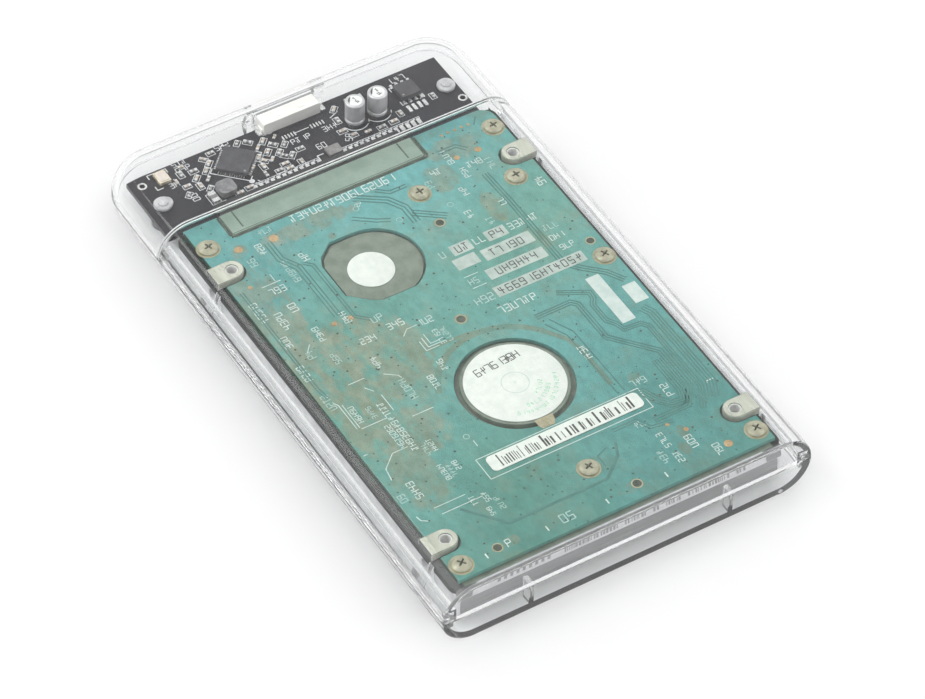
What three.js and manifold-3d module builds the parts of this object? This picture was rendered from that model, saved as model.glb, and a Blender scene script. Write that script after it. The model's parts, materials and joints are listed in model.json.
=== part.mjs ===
// A 2.5-inch hard disk drive in a clear USB enclosure whose lid slides off, built as an assembly.
// Millimetres, +Z up. The origin is the centre of the enclosure's underside, and +Y points to the USB end.
import * as THREE from "three";
import { mergeVertices } from "three/addons/utils/BufferGeometryUtils.js";
import Module from "manifold-3d";

// ---- driving dimensions ----

// Enclosure: a flat slab with half-round edges on both sides and at the USB end, cut square at the other end.
const CASE = { width: 78.5, length: 129, height: 13.5, wall: 1.3, headCorner: 9.5 };
const halfWidth = CASE.width / 2;
const halfLength = CASE.length / 2;
const edgeRadius = CASE.height / 2;
const PARTING = { low: 6.6, high: 6.9 }; // top of the tray's wall, bottom of the lid's wall
const SEAM = { lid: 39.15, head: 39.45 }; // front edge of the sliding lid, back edge of the head cover
const PORT = { x: 1.2, pocketHalf: 6.9, windowHalf: 6.6, faceY: 62.9 };

// Drive: the standard 2.5-inch size, lying with its circuit board up.
const DRIVE = { width: 69.85, length: 100.35, frontY: 39.6, bottom: 2.0, top: 11.5 };
const driveHalf = DRIVE.width / 2;
const driveRearY = DRIVE.frontY - DRIVE.length;
const MOUNT_HOLE = { x: 30.86, front: DRIVE.frontY - 14, rear: DRIVE.frontY - 90.6, radius: 1.25 };
const SPINDLE = { x: 0, y: -24.9 };
const PIVOT = { x: -7.8, y: 13.5 };
const ARM_REST_ANGLE = THREE.MathUtils.degToRad(-23.5);
const PLUG = { x0: -26, x1: 16.5, y0: 33.6 }; // the drive's connector block

// Heights inside the drive, from its cover plate up to its circuit board.
const Z = {
  coverPlate: [2.0, 2.55],
  gasket: [2.6, 2.85],
  base: [2.9, 9.6],
  ceiling: 8.6,
  board: [9.9, 10.7],
  lowerPlatter: [4.1, 4.735],
  upperPlatter: [6.635, 7.27],
};
const ADAPTER = { half: 34.4, y0: 43.4, y1: 60.5, z: [5.0, 6.0] };
const SEAT = 0.05; // clearance under a part that rests on another

const BOARD_SCREWS = [
  [-31.6, 33.1],
  [31.6, 33.9],
  [10.1, 25.6],
  [28.3, 20.3],
  [31.6, -5.9],
  [0.4, -49.3],
  [31.7, -56.8],
  [-31.2, -57.1],
];
const COVER_SCREWS = [
  [-32.6, 30.5],
  [32.6, 30.5],
  [-32.4, -57.6],
  [32.4, -57.6],
];
const RIVETS = { left: [-31.0, 51.6], right: [32.2, 52.2] };

// ---- solids ----

const wasm = await Module();
wasm.setup();

function solidOf(geometry) {
  const bare = geometry.clone();
  bare.deleteAttribute("normal");
  bare.deleteAttribute("uv");
  const merged = mergeVertices(bare, 1e-4);
  const mesh = new wasm.Mesh({
    numProp: 3,
    vertProperties: merged.attributes.position.array,
    triVerts: new Uint32Array(merged.index.array),
  });
  return new wasm.Manifold(mesh);
}

function geometryOf(solid) {
  const mesh = solid.getMesh();
  const geometry = new THREE.BufferGeometry();
  geometry.setAttribute("position", new THREE.BufferAttribute(mesh.vertProperties, 3));
  geometry.setIndex(new THREE.BufferAttribute(mesh.triVerts, 1));
  geometry.computeVertexNormals();
  return geometry;
}

function box(x0, x1, y0, y1, z0, z1) {
  const geometry = new THREE.BoxGeometry(x1 - x0, y1 - y0, z1 - z0);
  return solidOf(geometry.translate((x0 + x1) / 2, (y0 + y1) / 2, (z0 + z1) / 2));
}

function disc(x, y, radius, z0, z1, sides = 32) {
  const geometry = new THREE.CylinderGeometry(radius, radius, z1 - z0, sides).rotateX(Math.PI / 2);
  return solidOf(geometry.translate(x, y, (z0 + z1) / 2));
}

function ring(x, y, inner, outer, z0, z1, sides = 32) {
  return disc(x, y, outer, z0, z1, sides).subtract(disc(x, y, inner, z0 - 1, z1 + 1, sides));
}

function plate(shape, z0, z1, curveSegments = 6) {
  const geometry = new THREE.ExtrudeGeometry(shape, { depth: z1 - z0, bevelEnabled: false, curveSegments });
  return solidOf(geometry.translate(0, 0, z0));
}

function roundedRectangle(x0, x1, y0, y1, radius) {
  const shape = new THREE.Shape();
  shape.moveTo(x0 + radius, y0);
  shape.lineTo(x1 - radius, y0);
  shape.absarc(x1 - radius, y0 + radius, radius, -Math.PI / 2, 0);
  shape.lineTo(x1, y1 - radius);
  shape.absarc(x1 - radius, y1 - radius, radius, 0, Math.PI / 2);
  shape.lineTo(x0 + radius, y1);
  shape.absarc(x0 + radius, y1 - radius, radius, Math.PI / 2, Math.PI);
  shape.lineTo(x0, y0 + radius);
  shape.absarc(x0 + radius, y0 + radius, radius, Math.PI, 1.5 * Math.PI);
  return shape;
}

function polygon(points) {
  return new THREE.Shape(points.map(([x, y]) => new THREE.Vector2(x, y)));
}

function sector(inner, outer, fromDegrees, toDegrees) {
  const from = THREE.MathUtils.degToRad(fromDegrees);
  const to = THREE.MathUtils.degToRad(toDegrees);
  const shape = new THREE.Shape();
  shape.absarc(0, 0, outer, from, to);
  shape.absarc(0, 0, inner, to, from, true);
  return shape;
}

// A profile in the X-Z plane made into a prism along Y.
function prismAlongY(points, y0, y1) {
  const geometry = new THREE.ExtrudeGeometry(polygon(points), { depth: y1 - y0, bevelEnabled: false });
  return solidOf(geometry.rotateX(Math.PI / 2).translate(0, y1, 0));
}

function union(...solids) {
  return solids.reduce((sum, solid) => sum.add(solid));
}

function cut(solid, ...tools) {
  return tools.reduce((rest, tool) => rest.subtract(tool), solid);
}

function mirrored(solid) {
  return union(solid, solid.mirror([1, 0, 0]));
}

// ---- materials ----

function material(color, roughness, metalness = 0, opacity = 1) {
  return new THREE.MeshStandardMaterial({ color, roughness, metalness, opacity, transparent: opacity < 1 });
}

const clearPlastic = material(0xf4f6f6, 0.08, 0, 0.3);
const blackBoard = material(0x45444a, 0.5);
const greenBoard = material(0x77aea3, 0.45);
const blackPlastic = material(0x35353a, 0.5);
const chipPlastic = material(0x5c5c63, 0.55);
const sagePlastic = material(0x9db0a2, 0.5);
const castAluminium = material(0x8f958a, 0.5, 0.8);
const sheetAluminium = material(0xc9ccce, 0.32, 1);
const nickel = material(0xd9d3bd, 0.3, 1);
const brightSteel = material(0xe3e4e2, 0.22, 1);
const mirrorDisc = material(0xdcdde0, 0.05, 1);
const magnetCoat = material(0xb9bbbd, 0.3, 1);
const copper = material(0xb4713f, 0.4, 1);
const rubber = material(0x2b2b2b, 0.85);
const paper = material(0xf3f6ee, 0.7);
const whitePlastic = material(0xe8e6dc, 0.45);
const amberFilm = material(0xb98a3c, 0.4);
const crystalCan = material(0xe6d9b8, 0.3, 0.9);

// ---- enclosure ----

// The case's outer form, or its hollow when inset by the wall, left long at the square end.
function pillow(inset, rearY) {
  const radius = edgeRadius - inset;
  const flat = 0.05;
  const coreHalf = halfWidth - edgeRadius;
  const coreFront = halfLength - edgeRadius;
  const core = roundedRectangle(-coreHalf, coreHalf, rearY - 25, coreFront, CASE.headCorner - edgeRadius);
  const geometry = new THREE.ExtrudeGeometry(core, {
    depth: 2 * flat,
    bevelThickness: radius - flat,
    bevelSize: radius,
    bevelSegments: 7,
    curveSegments: 4,
  });
  const whole = solidOf(geometry.translate(0, 0, edgeRadius - flat));
  return whole.subtract(box(-60, 60, rearY - 60, rearY, -5, 20));
}

const outerForm = pillow(0, -halfLength);
const hollowForm = pillow(CASE.wall, CASE.wall - halfLength);

// The wall is thicker behind the USB port, so that a flat pocket can be cut into the rounded end.
function portBlock() {
  const block = box(PORT.x - 8.6, PORT.x + 8.6, 61.4, halfLength, 2.6, 11.2);
  return block.intersect(outerForm);
}

function portCut() {
  const { x, pocketHalf, windowHalf, faceY } = PORT;
  const pocket = plate(roundedRectangle(-pocketHalf, pocketHalf, -2.9, 2.9, 1.2), 0, 5);
  const window = plate(roundedRectangle(-windowHalf, windowHalf, -2, 2, 0.6), 0, 8);
  const standUp = (solid, y) => solid.rotate([-90, 0, 0]).translate([x, y, 6.95]);
  return union(standUp(pocket, faceY), standUp(window, 58));
}

const shell = cut(union(outerForm.subtract(hollowForm), portBlock()), portCut());

// Thickened rail along the tray's wall with a T-shaped tongue that the lid's groove runs on.
function trayRail() {
  const thick = box(36.8, 39.3, -63.5, 39.0, 4.6, PARTING.low).intersect(outerForm);
  const stem = box(37.4, 37.8, -62.8, 38.9, 6.4, 7.8);
  const head = box(37.0, 38.2, -62.8, 38.9, 7.7, 8.15);
  return union(thick, stem, head);
}

// A rib that stands beside the drive and keeps it central in the tray.
function sideRib(y) {
  const profile = [
    [35.2, 1.2],
    [37.2, 3.0],
    [37.4, 4.9],
    [35.9, 6.4],
    [35.8, 10.1],
    [35.2, 10.3],
  ];
  return prismAlongY(profile, y - 0.6, y + 0.6);
}

function baseTray() {
  const lower = shell.intersect(box(-60, 60, -80, 80, -1, PARTING.low));
  const endStops = [-20.5, 22].map((x) => box(x - 0.5, x + 0.5, -63.5, -61.2, 1, 6.2));
  const bosses = [RIVETS.left, RIVETS.right].map(([x, y]) => disc(x, y, 2.6, 1, 4.9, 24));
  const bores = [RIVETS.left, RIVETS.right].map(([x, y]) => disc(x, y, 1.15, 2.0, 6, 24));
  const shelf = mirrored(box(20, 21.2, 46, 60, 1, 4.9)); // ribs under the adapter board
  const runners = mirrored(box(30.2, 31.2, -52, 26, 1, 1.9)); // low ribs that the drive lies on
  const sides = mirrored(union(trayRail(), sideRib(22.4), sideRib(-54)));
  return cut(union(lower, sides, shelf, runners, ...endStops, ...bosses), ...bores);
}

function headCover() {
  return shell.intersect(box(-60, 60, SEAM.head, 80, PARTING.high, 20));
}

function slideCover() {
  const upper = shell.intersect(box(-60, 60, -80, SEAM.lid, PARTING.high, 20));
  const rail = box(36.25, 39.3, -63.5, SEAM.lid, PARTING.high, 9.0).intersect(outerForm);
  const slot = box(37.2, 38.0, -63.1, 45, 6, 7.5);
  const groove = box(36.75, 38.45, -63.1, 45, 7.4, 8.45);
  return cut(union(upper, mirrored(rail)), mirrored(slot), mirrored(groove));
}

// Clear plastic rivet that holds the adapter board down on its boss.
function boardRivet([x, y]) {
  return union(disc(x, y, 0.95, 2.3, 6.4, 16), disc(x, y, 1.85, 6.05, 6.7, 24), disc(x, y, 1.0, 6.6, 7.0, 16));
}

// ---- adapter board and its parts ----

function adapterBoard() {
  const { half, y0, y1, z } = ADAPTER;
  const notch = box(PORT.x - 6.6, PORT.x + 6.6, 58.3, y1 + 1, 0, 10);
  const rivetHoles = [RIVETS.left, RIVETS.right].map(([x, y]) => disc(x, y, 1.2, 4, 7, 20));
  const toolingHoles = [
    [-32.0, 58.0],
    [33.4, 47.9],
  ].map(([x, y]) => disc(x, y, 0.55, 4, 7, 12));
  return cut(box(-half, half, y0, y1, ...z), notch, ...rivetHoles, ...toolingHoles);
}

const USB = { half: 6.3, back: 58.5, mouth: 62.85, z0: 5.3, z1: 8.5, skin: 0.35 };

function usbShell() {
  const outline = roundedRectangle(-USB.half, USB.half, USB.z0, USB.z1, 0.5);
  const inside = roundedRectangle(
    -USB.half + USB.skin,
    USB.half - USB.skin,
    USB.z0 + USB.skin,
    USB.z1 - USB.skin,
    0.3,
  );
  const depth = USB.mouth - USB.back;
  const tube = cut(plate(outline, 0, depth, 3), plate(inside, USB.skin, depth + 1, 3));
  return tube.rotate([90, 0, 0]).mirror([0, 1, 0]).translate([PORT.x, USB.back, 0]);
}

// Insulator of the USB socket: a rear block and the two contact tongues.
function usbInsert() {
  const block = box(PORT.x - 5.85, PORT.x + 5.85, 58.9, 60.3, 5.75, 8.05);
  const wideTongue = box(PORT.x - 5.2, PORT.x + 0.9, 60.2, 62.3, 6.65, 7.25);
  const narrowTongue = box(PORT.x + 2.0, PORT.x + 5.2, 60.2, 62.3, 6.65, 7.25);
  return union(block, wideTongue, narrowTongue);
}

// Receptacle that the drive plugs onto. Its nose goes into the drive's connector block.
function sataSocket() {
  const body = box(-25, 15.5, 39.9, 43.1, 6.25, 10.1);
  const nose = box(-23.6, 14.1, 35.4, 40, 7.35, 10.1);
  const tongueSlot = box(-22.4, 13.2, 35, 40.4, 8.05, 9.65);
  return cut(union(body, nose), tongueSlot);
}

function electrolyticCapacitor(x, y) {
  const foot = plate(roundedRectangle(x - 2.1, x + 2.1, y - 2.1, y + 2.1, 0.5), 6.0 + SEAT, 6.5, 2);
  const points = [
    [0, 6.4],
    [1.95, 6.4],
    [1.95, 6.95],
    [1.75, 7.15],
    [1.95, 7.4],
    [1.95, 11.2],
    [1.75, 11.4],
    [0, 11.4],
  ];
  const lathe = new THREE.LatheGeometry(
    points.map(([r, z]) => new THREE.Vector2(r, z)),
    28,
  );
  return union(foot, solidOf(lathe.rotateX(Math.PI / 2)).translate([x, y, 0]));
}

function chip(sizeX, sizeY, height) {
  return plate(roundedRectangle(-sizeX / 2, sizeX / 2, -sizeY / 2, sizeY / 2, 0.15), 0, height, 2);
}

// ---- drive: casing and board ----

// Outline of the chamber: round over the platters, square over the actuator.
function chamber(z0, z1, grow = 0) {
  const round = disc(SPINDLE.x, SPINDLE.y, 33.6 + grow, z0, z1, 64);
  const square = plate(roundedRectangle(-30.8 - grow, 30.8 + grow, -8, 32.4 + grow, 1.5), z0, z1, 3);
  return union(round, square);
}

function lug(sign, y) {
  const shape = new THREE.Shape();
  shape.moveTo(driveHalf - 0.1, -2.2);
  shape.lineTo(driveHalf - 0.1, 2.2);
  shape.lineTo(MOUNT_HOLE.x, 2.2);
  shape.absarc(MOUNT_HOLE.x, 0, 2.2, Math.PI / 2, 1.5 * Math.PI);
  const solid = plate(shape, 9.4, DRIVE.top, 8);
  return (sign > 0 ? solid : solid.mirror([1, 0, 0])).translate([0, y, 0]);
}

const LUGS = [-1, 1].flatMap((sign) => [MOUNT_HOLE.front, MOUNT_HOLE.rear].map((y) => [sign, y]));

// Window in the circuit board through which the casting shows round the actuator pivot.
function pivotWindow(inset) {
  const round = disc(-6.4, 13.9, 9.3 - inset, 0, 1, 40);
  const lowFlat = box(-30, 30, -30, 5.3 + inset, -1, 2);
  const leftFlat = box(-30, -15.6 + inset, -30, 60, -1, 2);
  const scale = (9.3 - inset) / 9.3;
  const corners = new THREE.Shape(
    [
      [-15.6, 9.8],
      [-11.8, 6.2],
      [-6.4, 5.3],
      [-6.4, 23.2],
      [-11.2, 23.2],
      [-14.6, 20.5],
      [-15.6, 18.4],
    ].map(([x, y]) => new THREE.Vector2(-6.4 + (x + 6.4) * scale, 13.9 + (y - 13.9) * scale)),
  );
  return union(cut(round, lowFlat, leftFlat), plate(corners, 0, 1));
}

function driveBase() {
  const [z0, z1] = Z.base;
  const block = plate(roundedRectangle(-driveHalf, driveHalf, driveRearY, DRIVE.frontY, 1.6), z0, z1, 3);
  const spindleBoss = disc(SPINDLE.x, SPINDLE.y, 10.2, 9, 10.7, 48);
  const motorWell = disc(SPINDLE.x, SPINDLE.y, 9.4, 8, 10.1, 48);
  const sleeveSeat = ring(SPINDLE.x, SPINDLE.y, 3.15, 4.2, 9.3, 10.2, 24);
  const pivotPad = pivotWindow(0.5).translate([0, 0, 9.2]);
  const posts = BOARD_SCREWS.map(([x, y]) => disc(x, y, 1.6, 9.4, 9.85, 16));
  const postHoles = BOARD_SCREWS.map(([x, y]) => disc(x, y, 0.85, 8.95, 10.5, 12));
  const coverHoles = COVER_SCREWS.map(([x, y]) => disc(x, y, 0.95, 2, 5.4, 12));
  const lugs = LUGS.map(([sign, y]) => lug(sign, y));
  const lugHoles = LUGS.map(([sign, y]) => disc(sign * MOUNT_HOLE.x, y, MOUNT_HOLE.radius, 9.3, 12, 20));
  const plugBay = box(PLUG.x0 - 0.3, PLUG.x1 + 0.3, PLUG.y0 - 0.3, 45, 5.5, 12);
  const sideHole = (y) => disc(0, 0, MOUNT_HOLE.radius, 32.2, 36, 16).rotate([0, 90, 0]).translate([0, y, 7.1]);
  const sideHoles = mirrored(union(sideHole(MOUNT_HOLE.front), sideHole(MOUNT_HOLE.rear)));
  const casting = cut(union(block, spindleBoss, pivotPad, ...posts, ...lugs), chamber(2, Z.ceiling), motorWell);
  const bored = cut(casting, ...postHoles, ...coverHoles, ...lugHoles, plugBay, sideHoles);
  return union(bored, sleeveSeat);
}

function driveCover() {
  const outline = roundedRectangle(-34.4, 34.4, driveRearY + 0.5, 38.9, 2);
  const holes = COVER_SCREWS.map(([x, y]) => disc(x, y, 1.75, 1, 3, 20));
  const rim = disc(SPINDLE.x, SPINDLE.y, 20, 2.0, 2.1, 48);
  const dish = cut(rim, disc(SPINDLE.x, SPINDLE.y, 17, 1.9, 2.2, 48));
  return cut(plate(outline, ...Z.coverPlate, 4), ...holes, dish.translate([0, 0, -0.02]));
}

function coverGasket() {
  const outline = roundedRectangle(-34.1, 34.1, driveRearY + 0.8, 38.6, 2);
  const notch = box(PLUG.x0 - 1, PLUG.x1 + 1, 36, 45, 2, 4);
  const holes = COVER_SCREWS.map(([x, y]) => disc(x, y, 1.2, 2, 4, 12));
  return cut(plate(outline, ...Z.gasket, 4), chamber(2, 4, 0.15), notch, ...holes);
}

function coverScrew([x, y]) {
  const socket = disc(x, y, 0.6, 1.8, 2.25, 6);
  return cut(union(disc(x, y, 1.45, 2.02, 2.52, 20), disc(x, y, 0.85, 2.5, 5.2, 12)), socket);
}

function driveBoard() {
  const outline = new THREE.Shape();
  outline.moveTo(-33.4, -60.0);
  outline.lineTo(33.7, -60.0);
  outline.lineTo(33.7, 36.4);
  outline.absarc(30.7, 36.4, 3, 0, Math.PI / 2);
  outline.lineTo(-33.4, 39.4);
  const plugNotch = box(PLUG.x0 - 0.3, PLUG.x1 + 0.3, PLUG.y0 - 0.3, 45, 5, 12);
  const lugNotches = LUGS.map(([sign, y]) => {
    const round = disc(sign * MOUNT_HOLE.x, y, 2.75, 9, 12, 28);
    const open = sign > 0 ? box(MOUNT_HOLE.x, 40, y - 2.75, y + 2.75, 9, 12) : null;
    return union(round, open ?? box(-40, -MOUNT_HOLE.x, y - 2.75, y + 2.75, 9, 12));
  });
  const window = pivotWindow(0).scale([1, 1, 4]).translate([0, 0, 8]);
  const spindleHole = disc(SPINDLE.x, SPINDLE.y, 11.3, 9, 12, 56);
  const screwHoles = BOARD_SCREWS.map(([x, y]) => disc(x, y, 0.95, 9, 12, 12));
  return cut(plate(outline, ...Z.board, 5), plugNotch, ...lugNotches, window, spindleHole, ...screwHoles);
}

function crossRecess(x, y, z0, z1) {
  const bar = (hx, hy) => box(x - hx, x + hx, y - hy, y + hy, z0, z1);
  return union(bar(0.95, 0.2), bar(0.2, 0.95));
}

function boardScrew([x, y]) {
  const points = [
    [0, 10.7 + SEAT],
    [1.85, 10.7 + SEAT],
    [1.85, 11.05],
    [1.35, 11.4],
    [0, 11.45],
  ];
  const lathe = new THREE.LatheGeometry(
    points.map(([r, z]) => new THREE.Vector2(r, z)),
    20,
  );
  const head = solidOf(lathe.rotateX(Math.PI / 2)).translate([x, y, 0]);
  const shank = disc(x, y, 0.75, 9.05, 10.8, 12);
  return cut(union(head, shank), crossRecess(x, y, 11.05, 12));
}

// The drive's own connector: a block with a mouth towards the adapter and a contact tongue inside.
function sataPlug() {
  const block = plate(roundedRectangle(PLUG.x0, PLUG.x1, PLUG.y0, 39.5, 0.6), 5.8, 10.75, 3);
  const mouth = box(-23.9, 14.4, 35.1, 45, 7.05, 10.4);
  const tongue = box(-22.0, 12.8, 35, 39.2, 8.4, 9.3);
  return union(cut(block, mouth), tongue);
}

// ---- drive: spindle, in its own frame centred on the axis ----

function spindleHub() {
  const barrel = disc(0, 0, 9.9, 4.1, 7.3, 40);
  const flange = disc(0, 0, 12, 7.3, 8.1, 40);
  const motorSpace = disc(0, 0, 9.0, 4.9, 9, 40);
  const shaft = disc(0, 0, 1.5, 4.2, 9.8, 20);
  const threadHole = disc(0, 0, 1.0, 4, 6.2, 14);
  return cut(union(cut(union(barrel, flange), motorSpace), shaft), threadHole);
}

// Nine-toothed stator core.
function stator() {
  const yoke = ring(0, 0, 4.35, 5.4, 5.9, 8.9, 36);
  const teeth = [];
  for (let i = 0; i < 9; i++) {
    const tooth = union(box(5.2, 7.2, -0.7, 0.7, 5.9, 8.9), box(7.1, 7.7, -1.9, 1.9, 5.9, 8.9));
    teeth.push(tooth.rotate([0, 0, 40 * i]));
  }
  return union(yoke, ...teeth).intersect(disc(0, 0, 7.75, 5, 9, 48));
}

function platter([z0, z1]) {
  return ring(0, 0, 10.0, 32.5, z0, z1, 64);
}

function clampScrew() {
  return cut(union(disc(0, 0, 2.8, 2.95, 3.45, 20), disc(0, 0, 0.9, 3.4, 5.9, 14)), disc(0, 0, 0.9, 2.5, 3.2, 6));
}

// ---- drive: actuator, in its own frame: the pivot is the origin and the arm points along +X ----

const ARM_LEVELS = [
  [2.95, 3.35],
  [5.35, 6.05],
  [7.9, 8.35],
];

function armBlade(z0, z1) {
  const outline = polygon([
    [2, -5.2],
    [14, -2.6],
    [25.5, -1.4],
    [25.5, 1.4],
    [14, 2.6],
    [2, 5.2],
  ]);
  const lightening = polygon([
    [9, -1.6],
    [18, -0.6],
    [18, 0.6],
    [9, 1.6],
  ]);
  return cut(plate(outline, z0, z1), plate(lightening, z0 - 1, z1 + 1));
}

function actuatorArm() {
  const hub = disc(0, 0, 5.9, 2.95, 8.35, 32);
  const blades = ARM_LEVELS.map(([z0, z1]) => armBlade(z0, z1));
  const fork = plate(sector(5.2, 18.6, 162.5, 197.5), 5.1, 6.1, 10);
  const coilSpace = plate(sector(8.0, 17.6, 165.5, 194.5), 4, 7, 10);
  return cut(union(hub, ...blades, cut(fork, coilSpace)), disc(0, 0, 3.75, 2, 9, 32));
}

function voiceCoil() {
  const winding = plate(sector(8.3, 17.3, 166.8, 193.2), 4.95, 6.25, 8);
  return cut(winding, plate(sector(10.3, 15.3, 173, 187), 4, 7, 6));
}

// A spring blade with its read-write head at the tip; up is +1 where the head looks up.
function headGimbal(bladeZ, up) {
  const blade = polygon([
    [21.5, -1.3],
    [32.0, -0.35],
    [33.6, -0.35],
    [33.6, 0.35],
    [32.0, 0.35],
    [21.5, 1.3],
  ]);
  const slider = up > 0 ? [bladeZ + 0.14, bladeZ + 0.38] : [bladeZ - 0.23, bladeZ + 0.01];
  return union(plate(blade, bladeZ, bladeZ + 0.15), box(31.4, 32.5, -0.45, 0.45, ...slider));
}

// ---- drive: magnets, ramp and the rest, placed in the drive ----

function magnetYoke(z0, z1) {
  return plate(sector(8.6, 19.4, 104, 176), z0, z1, 10).intersect(box(-23, 0, 0, 18.4, 0, 12));
}

function voiceMagnet() {
  return plate(sector(9.2, 18.0, 108, 172), 6.55, 7.05, 10).intersect(box(-23, 0, 0, 18, 0, 12));
}

// Comb that the heads park on, slotted where the platters' edges turn.
function loadRamp() {
  const block = plate(sector(34.0, 38.0, -31, -16), 2.95, 8.55, 4).translate([PIVOT.x, PIVOT.y, 0]);
  const slots = [Z.lowerPlatter, Z.upperPlatter].map(([z0, z1]) =>
    disc(SPINDLE.x, SPINDLE.y, 33.1, z0 - 0.35, z1 + 0.35, 64),
  );
  return cut(block, ...slots);
}

// Ribbon circuit from its connector to the side of the arm's hub.
function flexRibbon() {
  const connector = box(9.5, 19, 11, 16, 6.6, 8.5);
  const path = [
    [-0.4, 16.2],
    [3.0, 18.6],
    [10.2, 15.6],
    [10.2, 15.2],
    [3.0, 18.2],
    [-0.2, 15.9],
  ];
  return union(connector, plate(polygon(path), 4.2, 8.2));
}

// ---- assembly ----

const hardDrive = new THREE.Group();
const spindle = new THREE.Group();
spindle.position.set(SPINDLE.x, SPINDLE.y, 0);
const pivot = new THREE.Group();
pivot.position.set(PIVOT.x, PIVOT.y, 0);
const actuator = new THREE.Group();
actuator.rotation.z = ARM_REST_ANGLE;
pivot.add(actuator);
hardDrive.add(spindle, pivot);

function add(group, name, solid, look) {
  const mesh = new THREE.Mesh(geometryOf(solid), look);
  mesh.name = name;
  group.add(mesh);
  return mesh;
}

add(hardDrive, "base_tray", baseTray(), clearPlastic);
add(hardDrive, "head_cover", headCover(), clearPlastic);
add(hardDrive, "slide_cover", slideCover(), clearPlastic);
for (const [side, place] of Object.entries(RIVETS)) {
  add(hardDrive, `board_rivet_${side}`, boardRivet(place), clearPlastic);
}

add(hardDrive, "adapter_board", adapterBoard(), blackBoard);
add(hardDrive, "usb_shell", usbShell(), brightSteel);
add(hardDrive, "usb_insert", usbInsert(), blackPlastic);
add(hardDrive, "sata_socket", sataSocket(), blackPlastic);
add(hardDrive, "capacitor_left", electrolyticCapacitor(12.0, 53.0), sheetAluminium);
add(hardDrive, "capacitor_right", electrolyticCapacitor(17.0, 52.9), sheetAluminium);
const boardTop = ADAPTER.z[1] + SEAT;
const bridgeChip = add(hardDrive, "bridge_chip", chip(6.4, 6.4, 0.9), chipPlastic);
bridgeChip.position.set(-13.6, 54.5, boardTop);
bridgeChip.rotation.z = Math.PI / 4;
add(hardDrive, "power_inductor", chip(3.6, 3.6, 1.5), chipPlastic).position.set(-18.9, 48.9, boardTop);
add(hardDrive, "crystal", chip(2.5, 3.2, 0.8), crystalCan).position.set(-28.0, 57.8, boardTop);
add(hardDrive, "regulator_chip", chip(4.2, 3.9, 1.2), chipPlastic).position.set(24.7, 54.6, boardTop);
add(hardDrive, "status_led", chip(3.0, 2.4, 0.7), whitePlastic).position.set(4.2, 47.7, boardTop);

add(hardDrive, "drive_base", driveBase(), castAluminium);
add(hardDrive, "drive_cover", driveCover(), sheetAluminium);
add(hardDrive, "cover_gasket", coverGasket(), rubber);
add(hardDrive, "drive_label", plate(roundedRectangle(-29, 29, -12, 33, 1), 1.85, 1.95), paper);
add(hardDrive, "drive_board", driveBoard(), greenBoard);
add(hardDrive, "sata_plug", sataPlug(), sagePlastic);
add(spindle, "spindle_label", disc(0, 0, 9.5, 10.75, 10.85, 48), paper);
add(pivot, "pivot_label", disc(0, 0, 4.4, 10.25, 10.35, 32), paper);
add(hardDrive, "barcode_label", plate(roundedRectangle(-14.6, 17.7, -41.4, -37.6, 0.9), 10.75, 10.85, 3), paper);
BOARD_SCREWS.forEach((place, i) => add(hardDrive, `board_screw_${i + 1}`, boardScrew(place), nickel));
COVER_SCREWS.forEach((place, i) => add(hardDrive, `cover_screw_${i + 1}`, coverScrew(place), brightSteel));

add(spindle, "spindle_hub", spindleHub(), brightSteel);
add(spindle, "rotor_magnet", ring(0, 0, 8.0, 8.9, 5.2, 8.0, 36), magnetCoat);
add(spindle, "motor_stator", stator(), copper);
add(spindle, "bearing_sleeve", ring(0, 0, 1.65, 3.05, 6.3, 10.05, 20), brightSteel);
add(spindle, "platter_lower", platter(Z.lowerPlatter), mirrorDisc);
add(spindle, "platter_upper", platter(Z.upperPlatter), mirrorDisc);
add(spindle, "platter_spacer", ring(0, 0, 10.05, 12.1, 4.78, 6.6, 40), sheetAluminium);
add(spindle, "platter_clamp", ring(0, 0, 1.2, 12, 3.5, 4.05, 40), sheetAluminium);
add(spindle, "clamp_screw", clampScrew(), brightSteel);

add(actuator, "actuator_arm", actuatorArm(), sheetAluminium);
add(actuator, "voice_coil", voiceCoil(), copper);
add(actuator, "pivot_bearing", ring(0, 0, 2.1, 3.6, 3.1, 8.2, 24), brightSteel);
add(actuator, "head_1", headGimbal(3.4, 1), brightSteel);
add(actuator, "head_2", headGimbal(5.15, -1), brightSteel);
add(actuator, "head_3", headGimbal(6.1, 1), brightSteel);
add(actuator, "head_4", headGimbal(7.7, -1), brightSteel);
add(pivot, "pivot_shaft", disc(0, 0, 1.9, 2.65, 8.55, 20), brightSteel);
add(pivot, "magnet_yoke_lower", magnetYoke(3.1, 4.2), magnetCoat);
add(pivot, "magnet_yoke_upper", magnetYoke(7.1, 8.5), magnetCoat);
add(pivot, "voice_magnet", voiceMagnet(), magnetCoat);
add(hardDrive, "load_ramp", loadRamp(), whitePlastic);
add(hardDrive, "flex_ribbon", flexRibbon(), amberFilm);
add(hardDrive, "air_filter", box(-30.3, -26.8, 0.5, 7, 3.1, 8.4), whitePlastic);

export default hardDrive;
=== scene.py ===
import json
import math
import random

import bmesh
import bpy
from mathutils import Matrix, Vector


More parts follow.
